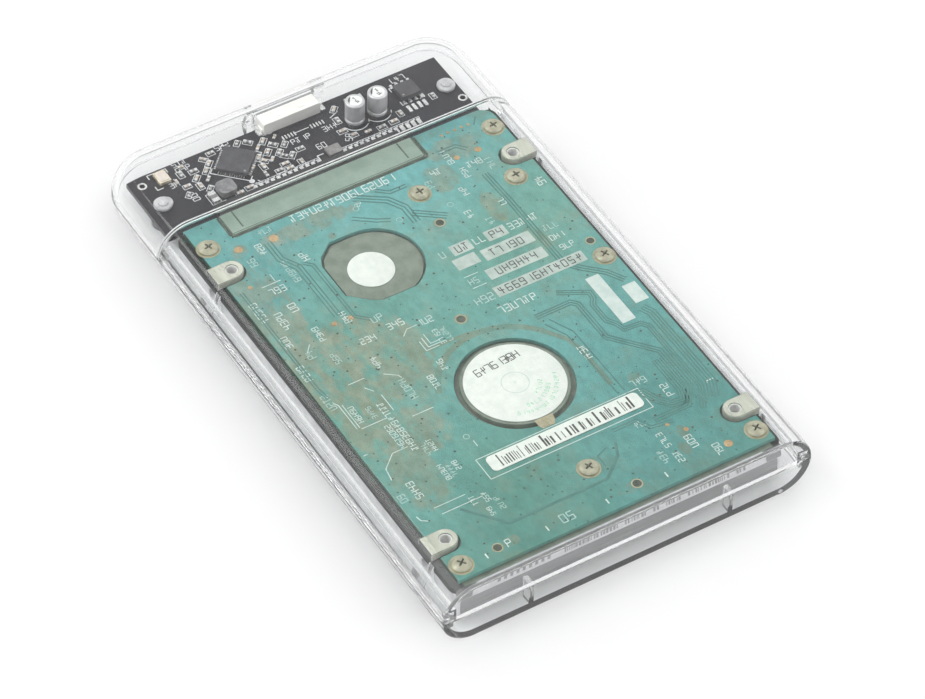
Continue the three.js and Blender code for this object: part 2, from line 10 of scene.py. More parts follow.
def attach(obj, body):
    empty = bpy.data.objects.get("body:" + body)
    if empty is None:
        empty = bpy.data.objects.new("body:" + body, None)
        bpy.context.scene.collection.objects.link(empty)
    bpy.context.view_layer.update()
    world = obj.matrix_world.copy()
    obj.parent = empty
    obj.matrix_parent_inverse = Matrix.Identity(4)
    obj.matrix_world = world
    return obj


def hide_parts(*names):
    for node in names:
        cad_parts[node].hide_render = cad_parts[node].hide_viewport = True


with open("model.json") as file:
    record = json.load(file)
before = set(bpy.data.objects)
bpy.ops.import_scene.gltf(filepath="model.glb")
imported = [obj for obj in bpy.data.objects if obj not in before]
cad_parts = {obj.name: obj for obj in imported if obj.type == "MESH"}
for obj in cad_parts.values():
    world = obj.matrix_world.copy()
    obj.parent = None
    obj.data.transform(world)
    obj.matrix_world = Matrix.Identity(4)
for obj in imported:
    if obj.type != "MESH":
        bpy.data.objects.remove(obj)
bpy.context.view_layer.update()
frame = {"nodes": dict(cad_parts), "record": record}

nodes = frame["nodes"]
rng = random.Random(11)
MM = 0.001
scene = bpy.context.scene

# ---------------------------------------------------------------- sizes, in millimetres

HALF_LENGTH = 64.5
RADIUS = 6.75  # the case's rounded edge
WALL = 1.3
END_FILLET = 0.6  # rounding of the outer edge at the rear face
CORE_X = 32.488  # centre line of the rounded side edge
CORE_Y = 57.738  # centre line of the rounded USB end
CORE_R = 2.75  # plan radius of that centre line at the two corners
RIM_LOW, RIM_HIGH = 6.6, 6.9  # top of the tray's wall, bottom of the lid's
SEAM_LID, SEAM_HEAD = 39.15, 39.45
PORT_X, PORT_FACE, PORT_Z = 1.2, 62.9, 6.95
BOARD_TOP = 10.7
ADAPTER_TOP = 6
LAYER = BOARD_TOP + 0.003  # where copper and holes on the drive board start
LABEL_TOP = 10.885
REAR_Y = -60.83  # just behind the drive's rear face
SPINDLE = (0, -24.9)
PIVOT = (-7.8, 13.5)
RIVETS = {"left": (-31, 51.6), "right": (32.2, 52.2)}
BOARD_SCREWS = [
    (-31.6, 33.1), (31.6, 33.9), (10.1, 25.6), (28.3, 20.3),
    (31.6, -5.9), (0.4, -49.3), (31.7, -56.8), (-31.2, -57.1),
]
LUG_X = 30.86
LUGS = [(side, y) for side in (-1, 1) for y in (25.6, -51)]  # side of the drive, y of the mounting hole
CANS = {"left": (12, 53), "right": (17, 52.9)}
BRIDGE = (45, -13.6, 54.5)  # the bridge chip's angle and place


# ---------------------------------------------------------------- shapes


def circle(x, y, radius, n=32, start=0):
    step = 2 * math.pi / n
    return [(x + radius * math.cos(start + i * step), y + radius * math.sin(start + i * step)) for i in range(n)]


def arc(x, y, radius, a0, a1, n=12):
    angles = [math.radians(a0 + (a1 - a0) * i / n) for i in range(n + 1)]
    return [(x + radius * math.cos(a), y + radius * math.sin(a)) for a in angles]


def rounded(x0, x1, y0, y1, r=0.3, n=4):
    return (arc(x1 - r, y1 - r, r, 0, 90, n) + arc(x0 + r, y1 - r, r, 90, 180, n)
            + arc(x0 + r, y0 + r, r, 180, 270, n) + arc(x1 - r, y0 + r, r, 270, 360, n))


def turned(points, angle, x=0, y=0):
    c, s = math.cos(math.radians(angle)), math.sin(math.radians(angle))
    return [(x + c * px - s * py, y + s * px + c * py) for px, py in points]


def mitred(points, distance, closed=False):
    """A polyline moved sideways by a distance, with mitred bends."""
    pts = [Vector(p) for p in points]
    n = len(pts)
    moved = []
    for i, p in enumerate(pts):
        ahead = (pts[(i + 1) % n] - p).normalized() if i < n - 1 or closed else None
        behind = (p - pts[i - 1]).normalized() if i or closed else ahead
        ahead = behind if ahead is None else ahead
        across = Vector((-behind.y, behind.x))
        normal = Vector((-(behind.y + ahead.y), behind.x + ahead.x))
        normal = normal.normalized() if normal.length > 1e-6 else across
        moved.append(p + normal * (distance / max(0.4, normal.dot(across))))
    return moved


class Shapes:
    """Closed shapes in millimetres that make up one piece."""

    def __init__(self):
        self.verts = []
        self.faces = []

    def add(self, verts, faces):
        base = len(self.verts)
        self.verts += [tuple(v) for v in verts]
        self.faces += [[base + i for i in f] for f in faces]
        return self

    def slab(self, x0, x1, y0, y1, r, n, z0, z1):
        return self.prism(rounded(x0, x1, y0, y1, r, n), z0, z1)

    def disc(self, x, y, radius, n, z0, z1):
        return self.prism(circle(x, y, radius, n), z0, z1)

    def prism(self, outline, z0, z1):
        n = len(outline)
        verts = [(x, y, z) for z in (z0, z1) for x, y in outline]
        sides = [[i, (i + 1) % n, n + (i + 1) % n, n + i] for i in range(n)]
        return self.add(verts, [list(range(n))[::-1], list(range(n, 2 * n)), *sides])

    def ring(self, x, y, inner, outer, z0, z1, n=48):
        loops = [(inner, z0), (outer, z0), (outer, z1), (inner, z1)]
        verts = [(px, py, z) for r, z in loops for px, py in circle(x, y, r, n)]
        faces = []
        for k in range(4):
            a, b = k * n, ((k + 1) % 4) * n
            faces += [[a + i, a + (i + 1) % n, b + (i + 1) % n, b + i] for i in range(n)]
        return self.add(verts, faces)

    def lathe(self, profile, x=0, y=0, n=40):
        """A profile of (radius, z) from one end of the axis to the other."""
        inner = profile[1:-1]
        verts = [(x, y, profile[0][1])]
        verts += [(px, py, z) for r, z in inner for px, py in circle(x, y, r, n)]
        verts.append((x, y, profile[-1][1]))
        last = len(verts) - 1
        faces = []
        for i in range(n):
            j = (i + 1) % n
            faces.append([0, 1 + j, 1 + i])
            for k in range(len(inner) - 1):
                a, b = 1 + k * n, 1 + (k + 1) * n
                faces.append([a + i, a + j, b + j, b + i])
            top = 1 + (len(inner) - 1) * n
            faces.append([top + i, top + j, last])
        return self.add(verts, faces)

    def ribbon(self, points, width, z0, z1, closed=False):
        """A flat band along a polyline."""
        n = len(points)
        left, right = mitred(points, width / 2, closed), mitred(points, -width / 2, closed)
        verts = [(q.x, q.y, z) for z in (z0, z1) for side in (left, right) for q in side]
        faces = []
        for i in range(n if closed else n - 1):
            j = (i + 1) % n
            l0, r0, l1, r1 = (k * n + i for k in range(4))
            m0, s0, m1, s1 = (k * n + j for k in range(4))
            faces += [[l1, r1, s1, m1], [l0, m0, s0, r0], [r0, s0, s1, r1], [l0, l1, m1, m0]]
        if not closed:
            faces += [[0, n, 3 * n, 2 * n], [n - 1, 3 * n - 1, 4 * n - 1, 2 * n - 1][::-1]]
        return self.add(verts, faces)

    def moved(self, matrix):
        self.verts = [tuple(matrix @ Vector(v)) for v in self.verts]
        return self

    def join(self, other):
        return self.add(other.verts, other.faces)


def along_y(outline, y0, y1):
    """An outline of (x, z) made into a bar along Y."""
    turn = Matrix(((1, 0, 0, 0), (0, 0, -1, 0), (0, 1, 0, 0), (0, 0, 0, 1)))
    return Shapes().prism(outline, -y1, -y0).moved(turn)


def along_x(outline, x0, x1):
    """An outline of (y, z) made into a bar along X."""
    turn = Matrix(((0, 0, 1, 0), (1, 0, 0, 0), (0, 1, 0, 0), (0, 0, 0, 1)))
    return Shapes().prism(outline, x0, x1).moved(turn)


def both_sides(make):
    """Shapes from make(), and their mirror image across the centre line."""
    return make().join(make().moved(Matrix.Scale(-1, 4, (1, 0, 0))))


def object_of(name, shapes):
    mesh = bpy.data.meshes.new(name)
    mesh.from_pydata([(x * MM, y * MM, z * MM) for x, y, z in shapes.verts], [], shapes.faces)
    bm = bmesh.new()
    bm.from_mesh(mesh)
    bmesh.ops.recalc_face_normals(bm, faces=bm.faces)
    bm.to_mesh(mesh)
    bm.free()
    obj = bpy.data.objects.new(name, mesh)
    scene.collection.objects.link(obj)
    return obj


def carve(obj, shapes, operation):
    """Joins shapes to obj's mesh, or cuts them out of it."""
    tool = object_of("tool", shapes)
    modifier = obj.modifiers.new("carve", "BOOLEAN")
    modifier.object = tool
    modifier.operation = operation
    modifier.solver = "EXACT"
    modifier.use_self = True
    graph = bpy.context.evaluated_depsgraph_get()
    mesh = bpy.data.meshes.new_from_object(obj.evaluated_get(graph))
    obj.modifiers.clear()
    obj.data = mesh
    bpy.data.objects.remove(tool)


def finish_piece(obj, material, body="tray", stands_for=(), bevel=0, sharp=32, slot=None):
    mesh = obj.data
    mesh.materials.clear()
    mesh.materials.append(material)
    mesh.shade_smooth()
    mesh.set_sharp_from_angle(angle=math.radians(sharp))
    if bevel:
        modifier = obj.modifiers.new("bevel", "BEVEL")
        modifier.width = bevel * MM
        modifier.segments = 2
        modifier.limit_method = "ANGLE"
        modifier.angle_limit = math.radians(sharp)
        modifier.harden_normals = True
    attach(obj, body)
    if stands_for:
        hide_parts(*stands_for)
    return obj


def piece(name, shapes, material, **options):
    return finish_piece(object_of(name, shapes), material, **options)


# ---------------------------------------------------------------- materials


def start(name):
    material = bpy.data.materials.new(name)
    material.use_nodes = True
    tree = material.node_tree
    return material, tree, tree.nodes["Principled BSDF"]


def wire(tree, made, inputs):
    """Sets a node's inputs: each is a number, a tuple or another node's output."""
    for key, value in inputs.items():
        if isinstance(value, bpy.types.NodeSocket):
            tree.links.new(value, made.inputs[key])
        else:
            made.inputs[key].default_value = value


def node(tree, kind, inputs, **settings):
    made = tree.nodes.new("ShaderNode" + kind)
    for key, value in settings.items():
        setattr(made, key, value)
    wire(tree, made, inputs)
    return made


def calc(tree, operation, *inputs):
    return node(tree, "Math", dict(enumerate(inputs)), operation=operation).outputs[0]


def coordinates(tree, stretch=(1, 1, 1)):
    place = node(tree, "TexCoord", {}).outputs["Object"]
    return node(tree, "Mapping", {"Vector": place, "Scale": stretch}).outputs["Vector"]


def noise(tree, scale, detail=3, rough=0.55, stretch=(1, 1, 1)):
    inputs = {"Scale": scale, "Detail": detail, "Roughness": rough, "Vector": coordinates(tree, stretch)}
    return node(tree, "TexNoise", inputs).outputs["Fac"]


def ramp(tree, factor, stops):
    made = node(tree, "ValToRGB", {"Fac": factor})
    elements = made.color_ramp.elements
    while len(elements) < len(stops):
        elements.new(0.5)
    for element, (place, colour) in zip(elements, stops):
        element.position = place
        element.color = (*colour, 1)
    return made.outputs["Color"]


def two_tone(tree, factor, tones, reach=0.14):
    """A ramp from one tone to the other, reaching as far on either side of the middle."""
    return ramp(tree, factor, [(0.5 - reach, tones[0]), (0.5 + reach, tones[1])])


def spread(tree, factor, low, high):
    inputs = {"From Min": 0.3, "From Max": 0.7, "To Min": low, "To Max": high, "Value": factor}
    return node(tree, "MapRange", inputs).outputs["Result"]


def bumped(tree, height, strength, distance=0.0001):
    return node(tree, "Bump", {"Strength": strength, "Distance": distance, "Height": height}).outputs["Normal"]


def blend(tree, factor, first, second, kind="MIX"):
    first, second = ((*c, 1) if isinstance(c, tuple) else c for c in (first, second))
    inputs = {"Factor": factor, 6: first, 7: second}
    return node(tree, "Mix", inputs, data_type="RGBA", blend_type=kind).outputs[2]


def surface(name, dark, light, scale, rough, bump=(900, 0.15), metallic=0, stretch=(1, 1, 1)):
    """A material whose colour, gloss and fine relief all vary over the surface."""
    material, tree, shader = start(name)
    wire(tree, shader, {
        "Base Color": two_tone(tree, noise(tree, scale, 4, 0.6, stretch), (dark, light)),
        "Roughness": spread(tree, noise(tree, scale * 2.3, 3, 0.6, stretch), *rough),
        "Normal": bumped(tree, noise(tree, bump[0], 2, 0.5, stretch), bump[1]),
        "Metallic": metallic,
    })
    return material


def clear_plastic(name, clarity, ripple):
    """Polished clear plastic. Lamps shine through it, so what is inside stays lit."""
    material, tree, shader = start(name)
    wire(tree, shader, {
        "Base Color": (0.985, 0.992, 0.992, 1),
        "Transmission Weight": clarity,
        "IOR": 1.36,
        "Roughness": spread(tree, noise(tree, 90, 4), 0, 0.012),
        "Normal": bumped(tree, noise(tree, 70, 2, 0.4, (1, 0.35, 1)), ripple, 0.0003),
    })
    through = node(tree, "BsdfTransparent", {"Color": (0.97, 0.975, 0.975, 1)}).outputs[0]
    to_lamp = node(tree, "LightPath", {}).outputs["Is Shadow Ray"]
    mix = node(tree, "MixShader", {"Fac": to_lamp, 1: shader.outputs[0], 2: through}).outputs[0]
    wire(tree, tree.nodes["Material Output"], {"Surface": mix})
    return material


def patches(tree, ellipses):
    """A soft-edged, ragged mask over a list of ellipses (x, y, half width, half height) in millimetres."""
    total = None
    for x, y, rx, ry in ellipses:
        place = node(tree, "TexCoord", {}).outputs["Object"]
        inputs = {"Vector": place, "Location": (x * MM, y * MM, BOARD_TOP * MM), "Scale": (rx * MM, ry * MM, 1)}
        mapped = node(tree, "Mapping", inputs, vector_type="TEXTURE").outputs["Vector"]
        ball = node(tree, "TexGradient", {"Vector": mapped}, gradient_type="SPHERICAL").outputs["Fac"]
        total = calc(tree, "MAXIMUM", total, ball) if total else ball
    level = calc(tree, "MINIMUM", total, 0.42)
    shaken = calc(tree, "MULTIPLY_ADD", noise(tree, 420, 6, 0.7, (1, 0.45, 1)), 1.1, level)
    return ramp(tree, shaken, [(0.84, (0, 0, 0)), (1, (0.9, 0.9, 0.9))])


def solder_mask(name, dark, light, stain, speck, rough, slope=None, bare=()):
    """Lacquer over copper: mottled, with faint stains, small dark specks and an optional slope of tone."""
    material, tree, shader = start(name)
    black, white = (0, 0, 0), (1, 1, 1)
    colour = two_tone(tree, noise(tree, 38, 5, 0.6), (dark, light), 0.16)
    stains = ramp(tree, noise(tree, 95, 5, 0.65), [(0.52, black), (0.72, white)])
    colour = blend(tree, stains, colour, stain)
    for tones, ellipses in bare:
        mottle = two_tone(tree, noise(tree, 210, 4, 0.6), tones, 0.12)
        colour = blend(tree, patches(tree, ellipses), colour, mottle)
    grain = two_tone(tree, noise(tree, 620, 4, 0.7, (1, 0.6, 1)), ((0.86, 0.88, 0.86), (1.12, 1.1, 1.1)))
    colour = blend(tree, 1, colour, grain, "MULTIPLY")
    blots = ramp(tree, noise(tree, 150, 6, 0.72), [(0.53, black), (0.68, (0.55, 0.55, 0.55))])
    colour = blend(tree, blots, colour, stain)
    cells = node(tree, "TexVoronoi", {"Scale": 420, "Vector": coordinates(tree)}).outputs["Distance"]
    colour = blend(tree, ramp(tree, cells, [(0.06, white), (0.1, black)]), colour, speck)
    tint = two_tone(tree, noise(tree, 24, 3, 0.5), ((1.1, 1, 0.93), (0.92, 1.02, 1.07)))
    colour = blend(tree, 1, colour, tint, "MULTIPLY")
    if slope:
        line = node(tree, "VectorMath", {0: coordinates(tree), 1: slope}, operation="DOT_PRODUCT").outputs["Value"]
        tones = ramp(tree, calc(tree, "ADD", line, 0.5), [
            (0.12, (0.8, 0.9, 0.9)), (0.46, (1.24, 1.18, 1.17)), (0.76, (1.18, 1.19, 1.27))])
        colour = blend(tree, 1, colour, tones, "MULTIPLY")
    wire(tree, shader, {
        "Base Color": colour,
        "Roughness": spread(tree, noise(tree, 160, 3), *rough),
        "Normal": bumped(tree, noise(tree, 700, 2), 0.12),
        "Specular IOR Level": 0.25,
    })
    return material


def banded(name, low, high, bare, edge, height, scale, rough):
    """A casting: one tone inside edge across its width; beyond it a near-black tone, a dark side with painted shade;
    below height a light tone, bare metal with painted reflection.
    """
    material, tree, shader = start(name)
    place = node(tree, "SeparateXYZ", {"Vector": coordinates(tree)}).outputs
    beyond = calc(tree, "GREATER_THAN", calc(tree, "ABSOLUTE", place["X"]), edge)
    below = calc(tree, "LESS_THAN", place["Z"], height)
    mottle = noise(tree, scale, 4, 0.6)
    first, second, third = (two_tone(tree, mottle, tones) for tones in (low, high, bare))
    wire(tree, shader, {
        "Base Color": blend(tree, below, blend(tree, beyond, first, second), third),
        "Roughness": spread(tree, noise(tree, scale * 2, 3), *rough),
        "Normal": bumped(tree, noise(tree, 900, 2), 0.08),
    })
    return material


def haze_highlight(name):
    """A white haze over clear plastic, partly a frosted moulded edge and partly a painted highlight on that edge."""
    material, tree, shader = start(name)
    wire(tree, shader, {
        "Base Color": two_tone(tree, noise(tree, 900, 2), ((0.86, 0.87, 0.87), (0.97, 0.97, 0.97)), 0.2),
        "Roughness": spread(tree, noise(tree, 500, 2), 0.25, 0.4),
        "Transmission Weight": 0.25,
        "IOR": 1.47,
    })
    return material


CLEAR = clear_plastic("clear_plastic", 1, 0.02)
CLEAR_EDGE = clear_plastic("clear_plastic_edge", 0.955, 0.005)
# Places where copper shows through the green lacquer: two tones, and ellipses (x, y, half width, half height).
BARE_COPPER = [
    (((0.15, 0.215, 0.16), (0.205, 0.265, 0.205)), [
        (-30, 14, 7.6, 20), (-29, -6, 8.4, 20), (-20.4, 0.4, 10, 7.6), (-14.4, -7.2, 9.6, 12.6),
        (-24.4, -12, 9, 11), (-29, -22, 6, 13), (-12, 29, 15, 3.4), (22, 33, 9, 4), (-21, -26, 8, 9),
        (-17.4, 28.4, 3, 2.2), (22.6, 30.8, 2.4, 2.6), (20, -50.4, 1.6, 2.6), (18, -54, 1.6, 2.4),
        (-27, 29.6, 3, 2.6), (4, -57, 3.4, 2), (-21, -56.8, 3.4, 1.8)]),
    (((0.14, 0.22, 0.165), (0.195, 0.265, 0.205)), [
        (-27.2, -36.4, 7.4, 11), (15.6, 27.2, 5, 6), (20.7, 15.6, 3.4, 6), (24.2, 3, 1.1, 4.2),
        (19.6, -34.4, 1.8, 1.6), (-9.8, 24.4, 1.6, 1.2), (-0.2, -6.2, 2.2, 2), (9.4, 17.1, 2, 1.9)]),
]
GREEN = solder_mask("green_mask", (0.082, 0.25, 0.222), (0.132, 0.33, 0.3), (0.155, 0.255, 0.2),
                    (0.03, 0.09, 0.075), (0.3, 0.46), (-4, 6.5, 0), BARE_COPPER)
BLACK = solder_mask("black_mask", (0.02, 0.019, 0.023), (0.032, 0.03, 0.036), (0.04, 0.038, 0.043),
                    (0.018, 0.018, 0.02), (0.36, 0.5))
TRACE = surface("trace_relief", (0.05, 0.165, 0.142), (0.076, 0.212, 0.183), 300, (0.32, 0.45))
POUR_DARK = solder_mask("copper_pour_dark", (0.125, 0.2, 0.15), (0.175, 0.25, 0.19), (0.085, 0.225, 0.19),
                        (0.05, 0.09, 0.06), (0.35, 0.5), (-4, 6.5, 0))
SILK = surface("silk_print", (0.5, 0.62, 0.57), (0.7, 0.79, 0.75), 900, (0.55, 0.7))
SILK_FAINT = surface("silk_faint", (0.32, 0.49, 0.45), (0.48, 0.63, 0.58), 1200, (0.5, 0.65))
BRIGHT_SILK = surface("bright_silk", (0.62, 0.64, 0.64), (0.82, 0.83, 0.83), 900, (0.55, 0.7))
WHITE_PRINT = surface("white_print", (0.52, 0.62, 0.58), (0.64, 0.72, 0.68), 500, (0.5, 0.62))
BAR_PRINT = surface("bar_print", (0.38, 0.47, 0.42), (0.5, 0.58, 0.53), 500, (0.5, 0.62))
INK = surface("printed_ink", (0.03, 0.03, 0.03), (0.1, 0.1, 0.095), 1500, (0.5, 0.7))
GREEN_INK = surface("green_ink", (0.25, 0.62, 0.38), (0.45, 0.78, 0.55), 1500, (0.5, 0.7))
PAPER = surface("label_paper", (0.72, 0.77, 0.71), (0.8, 0.84, 0.78), 700, (0.5, 0.62), (1600, 0.2))
REAR_PAPER = surface("rear_label", (0.66, 0.66, 0.68), (0.76, 0.76, 0.78), 500, (0.4, 0.55))
REAR_INK = surface("rear_ink", (0.16, 0.16, 0.17), (0.26, 0.26, 0.27), 900, (0.5, 0.7))
REAR_METAL = surface("rear_metal", (0.1, 0.1, 0.105), (0.22, 0.22, 0.225), 160, (0.3, 0.45),
                     (1500, 0.1), 0.3, (0.2, 1, 1.6))
COPPER_PAD = surface("tinned_copper", (0.44, 0.28, 0.13), (0.58, 0.42, 0.24), 800, (0.25, 0.42), metallic=0.6)
TAN_PAD = surface("pad_ring", (0.34, 0.32, 0.2), (0.48, 0.44, 0.3), 700, (0.3, 0.45), metallic=0.35)
SOLDER = surface("solder", (0.6, 0.61, 0.61), (0.86, 0.86, 0.85), 900, (0.18, 0.35), metallic=0.9)
# The drive's casting: olive coating on top, painted shade on the upper sides, and below 8.3 mm bare metal with painted
# reflection.
CASTING_WITH_SHADE = banded("cast_coating_and_side_shade", ((0.16, 0.2, 0.155), (0.225, 0.265, 0.215)),
                 ((0.003, 0.005, 0.004), (0.012, 0.016, 0.013)), ((0.6, 0.6, 0.61), (0.78, 0.78, 0.79)),
                 0.0327, 0.0083, 420, (0.42, 0.6))
BORE = surface("bore_metal", (0.78, 0.78, 0.75), (0.94, 0.94, 0.92), 700, (0.3, 0.45))
LUG_SIDE = surface("lug_casting", (0.42, 0.42, 0.35), (0.58, 0.58, 0.51), 500, (0.35, 0.5), metallic=0.3)
FROST_HIGHLIGHT = haze_highlight("edge_haze_highlight")
# Dark grey for strips that paint the shade at the USB pocket's edges.
SHADOW_LINE = surface("pocket_edge_shade", (0.12, 0.12, 0.125), (0.24, 0.24, 0.245), 600, (0.3, 0.5))
RIVET_PLASTIC = surface("rivet_plastic", (0.44, 0.44, 0.45), (0.62, 0.62, 0.62), 500, (0.2, 0.35))
LUG_FACE = surface("machined_lug", (0.45, 0.47, 0.385), (0.63, 0.645, 0.545), 500, (0.24, 0.4),
                   (2200, 0.2), 0.15, (1, 0.15, 1))
NICKEL = surface("nickel_screw", (0.34, 0.33, 0.23), (0.5, 0.49, 0.36), 700, (0.34, 0.48), metallic=0.25)
# A darker copy of the plug's sage: painted shade in its grooves.
SAGE_SHADE = surface("sage_groove_shade", (0.06, 0.095, 0.07), (0.1, 0.14, 0.105), 600, (0.5, 0.65))
BLACK_PLASTIC = surface("black_plastic", (0.018, 0.018, 0.019), (0.035, 0.035, 0.037), 350, (0.4, 0.55))
CHIP = surface("chip_epoxy", (0.05, 0.05, 0.055), (0.08, 0.08, 0.085), 420, (0.45, 0.6), (2600, 0.3))
CERAMIC = surface("tan_ceramic", (0.42, 0.34, 0.25), (0.56, 0.46, 0.36), 900, (0.4, 0.55))
GREY_CERAMIC = surface("grey_ceramic", (0.2, 0.19, 0.19), (0.32, 0.31, 0.3), 900, (0.4, 0.55))
CAN = surface("capacitor_can", (0.56, 0.56, 0.57), (0.74, 0.74, 0.75), 420, (0.3, 0.42),
              (2400, 0.12), 0.6, (1, 1, 0.1))
CAN_TOP = surface("capacitor_top", (0.8, 0.8, 0.79), (0.93, 0.93, 0.92), 700, (0.4, 0.5))
INDUCTOR = surface("ferrite", (0.16, 0.16, 0.165), (0.3, 0.3, 0.305), 900, (0.3, 0.45))
CRYSTAL = surface("crystal_lid", (0.75, 0.66, 0.48), (0.88, 0.8, 0.64), 600, (0.2, 0.32), metallic=0.7)
CRYSTAL_LID = surface("crystal_cap", (0.66, 0.58, 0.52), (0.78, 0.71, 0.65), 500, (0.25, 0.4))
# Near white: the bright metal of the USB socket, with its glare painted in.
SOCKET_GLARE = surface("tinned_socket_glare", (0.93, 0.915, 0.87), (0.985, 0.975, 0.94), 300, (0.3, 0.45), metallic=0.1)
# Near-black green: the board's edge with the shade of the gap beside it painted in.
EDGE_GREEN_SHADE = surface("board_edge_shade", (0.008, 0.04, 0.026), (0.03, 0.085, 0.05), 260, (0.4, 0.6))
# Near-black green: painted shade in holes, recesses and gaps.
HOLE_SHADE = surface("painted_hole_shade", (0.035, 0.05, 0.035), (0.09, 0.11, 0.08), 800, (0.5, 0.7))

# What the CAD nodes wear, by their slot in the record.
SLOT_LOOKS = {
    "clear_plastic": CLEAR, "board_black": BLACK, "board_green": GREEN, "black_plastic": BLACK_PLASTIC,
    "chip_plastic": CHIP, "cast_aluminium": CASTING_WITH_SHADE, "nickel_screw": NICKEL, "paper": PAPER, "crystal_can": CRYSTAL,
    "sheet_aluminium": surface("brushed_sheet", (0.62, 0.63, 0.64), (0.78, 0.79, 0.8), 180, (0.24, 0.4),
        (1800, 0.22), 0.95, (1, 0.06, 1)),
    "bright_steel": surface("bright_steel", (0.72, 0.72, 0.71), (0.86, 0.86, 0.85), 500, (0.12, 0.25), metallic=1),
    "mirror_disc": surface("platter_mirror", (0.8, 0.8, 0.82), (0.86, 0.86, 0.87), 100, (0.02, 0.06),
        (2000, 0.02), metallic=1),
    "magnet": surface("magnet_plating", (0.6, 0.61, 0.62), (0.74, 0.74, 0.75), 300, (0.22, 0.36), metallic=1),
    "copper": surface("copper_wire", (0.45, 0.2, 0.09), (0.66, 0.34, 0.17), 900, (0.28, 0.42),
        (2600, 0.6), 0.9, (1, 0.1, 1)),
    "sage_plastic": surface("sage_plastic", (0.225, 0.315, 0.255), (0.285, 0.375, 0.31), 240, (0.42, 0.55)),
    "rubber": surface("gasket_rubber", (0.02, 0.02, 0.02), (0.035, 0.035, 0.035), 500, (0.7, 0.85)),
    "white_plastic": surface("ivory_plastic", (0.8, 0.79, 0.74), (0.9, 0.89, 0.85), 400, (0.35, 0.5)),
    "amber_film": surface("polyimide", (0.42, 0.22, 0.05), (0.58, 0.34, 0.1), 400, (0.3, 0.42)),
}
for part in frame["record"]["subparts"]:
    cad_node = nodes[part["node"]]
    cad_node.data.materials.clear()
    cad_node.data.materials.append(SLOT_LOOKS[part["material_slot"]])
# The USB shell wears the near-white socket colour, with its glare painted in.
nodes["usb_shell"].data.materials[0] = SOCKET_GLARE


# ---------------------------------------------------------------- clear enclosure


def core_path(y_start):
    """The centre line of the rounded edge from the left side, round the USB end, to the right side."""
    half = [((-CORE_X, y_start), (-1, 0)), ((-CORE_X, CORE_Y - CORE_R), (-1, 0))]
    for i in range(1, 17):
        a = math.radians(180 - 90 * i / 16)
        nx, ny = math.cos(a), math.sin(a)
        half.append(((-CORE_X + CORE_R + CORE_R * nx, CORE_Y - CORE_R + CORE_R * ny), (nx, ny)))
    return half + [((-x, y), (-nx, ny)) for (x, y), (nx, ny) in reversed(half)]


def profile(radius, rim, upper, steps=18):
    """Points (reach, z) of the rounded edge from its rim to the flat top or bottom."""
    a0 = math.asin((rim - RADIUS) / radius)
    a1 = math.pi / 2 if upper else -math.pi / 2
    angles = [a0 + (a1 - a0) * i / steps for i in range(steps + 1)]
    return [(radius * math.cos(a), RADIUS + radius * math.sin(a)) for a in angles]


def end_rows(radius, y_end, fillet):
    """Rows (y, radius) that round a shell's outer edge off where it meets its rear face."""
    turns = [math.radians(15 * i) for i in range(7)]
    return [(y_end + fillet * (1 - math.cos(a)), radius - fillet * (1 - math.sin(a))) for a in turns]


def swept_shell(rim, upper, y_outer, y_inner, closed_rear):
    """Half of the case that wraps round the USB end: the tray, or the head cover."""
    grids = []
    for radius, y_start in ((RADIUS, y_outer), (RADIUS - WALL, y_inner)):
        path = [(place, normal, radius) for place, normal in core_path(y_start)]
        if closed_rear and radius == RADIUS:
            rows = end_rows(radius, y_start, END_FILLET)
            left = [((-CORE_X, y), (-1, 0), r) for y, r in rows]
            right = [((CORE_X, y), (1, 0), r) for y, r in reversed(rows)]
            path = left + path[1:-1] + right
        grids.append([[(x + nx * r, y + ny * r, z) for r, z in profile(reach, rim, upper)]
                      for (x, y), (nx, ny), reach in path])
    m = len(grids[0][0])
    starts = [0, len(grids[0]) * m]
    counts = [len(grid) for grid in grids]
    verts = [p for grid in grids for row in grid for p in row]

    def at(k, i, j):
        return starts[k] + (i % counts[k]) * m + j

    faces = []
    for k in (0, 1):
        faces += [[at(k, i, j), at(k, i + 1, j), at(k, i + 1, j + 1), at(k, i, j + 1)]
                  for i in range(counts[k] - 1) for j in range(m - 1)]
        faces.append([at(k, i, m - 1) for i in range(counts[k])])
    if closed_rear:
        side = (counts[0] - counts[1]) // 2
        for i in range(counts[1] - 1):
            faces.append([at(0, i + side, 0), at(0, i + side + 1, 0), at(1, i + 1, 0), at(1, i, 0)])
        faces.append([at(0, i, 0) for i in range(side + 1)] + [at(1, 0, 0), at(1, -1, 0)]
                     + [at(0, counts[0] - 1 - i, 0) for i in reversed(range(side + 1))])
        faces += [[at(k, 0, j) for j in range(m)] + [at(k, -1, j) for j in range(m)][::-1] for k in (0, 1)]
    else:
        faces += [[at(0, i, 0), at(0, i + 1, 0), at(1, i + 1, 0), at(1, i, 0)] for i in range(counts[0] - 1)]
        for i in (0, -1):
            faces += [[at(0, i, j), at(0, i, j + 1), at(1, i, j + 1), at(1, i, j)] for j in range(m - 1)]
        faces.append([at(0, 0, m - 1), at(0, -1, m - 1), at(1, -1, m - 1), at(1, 0, m - 1)])
    return Shapes().add(verts, faces)


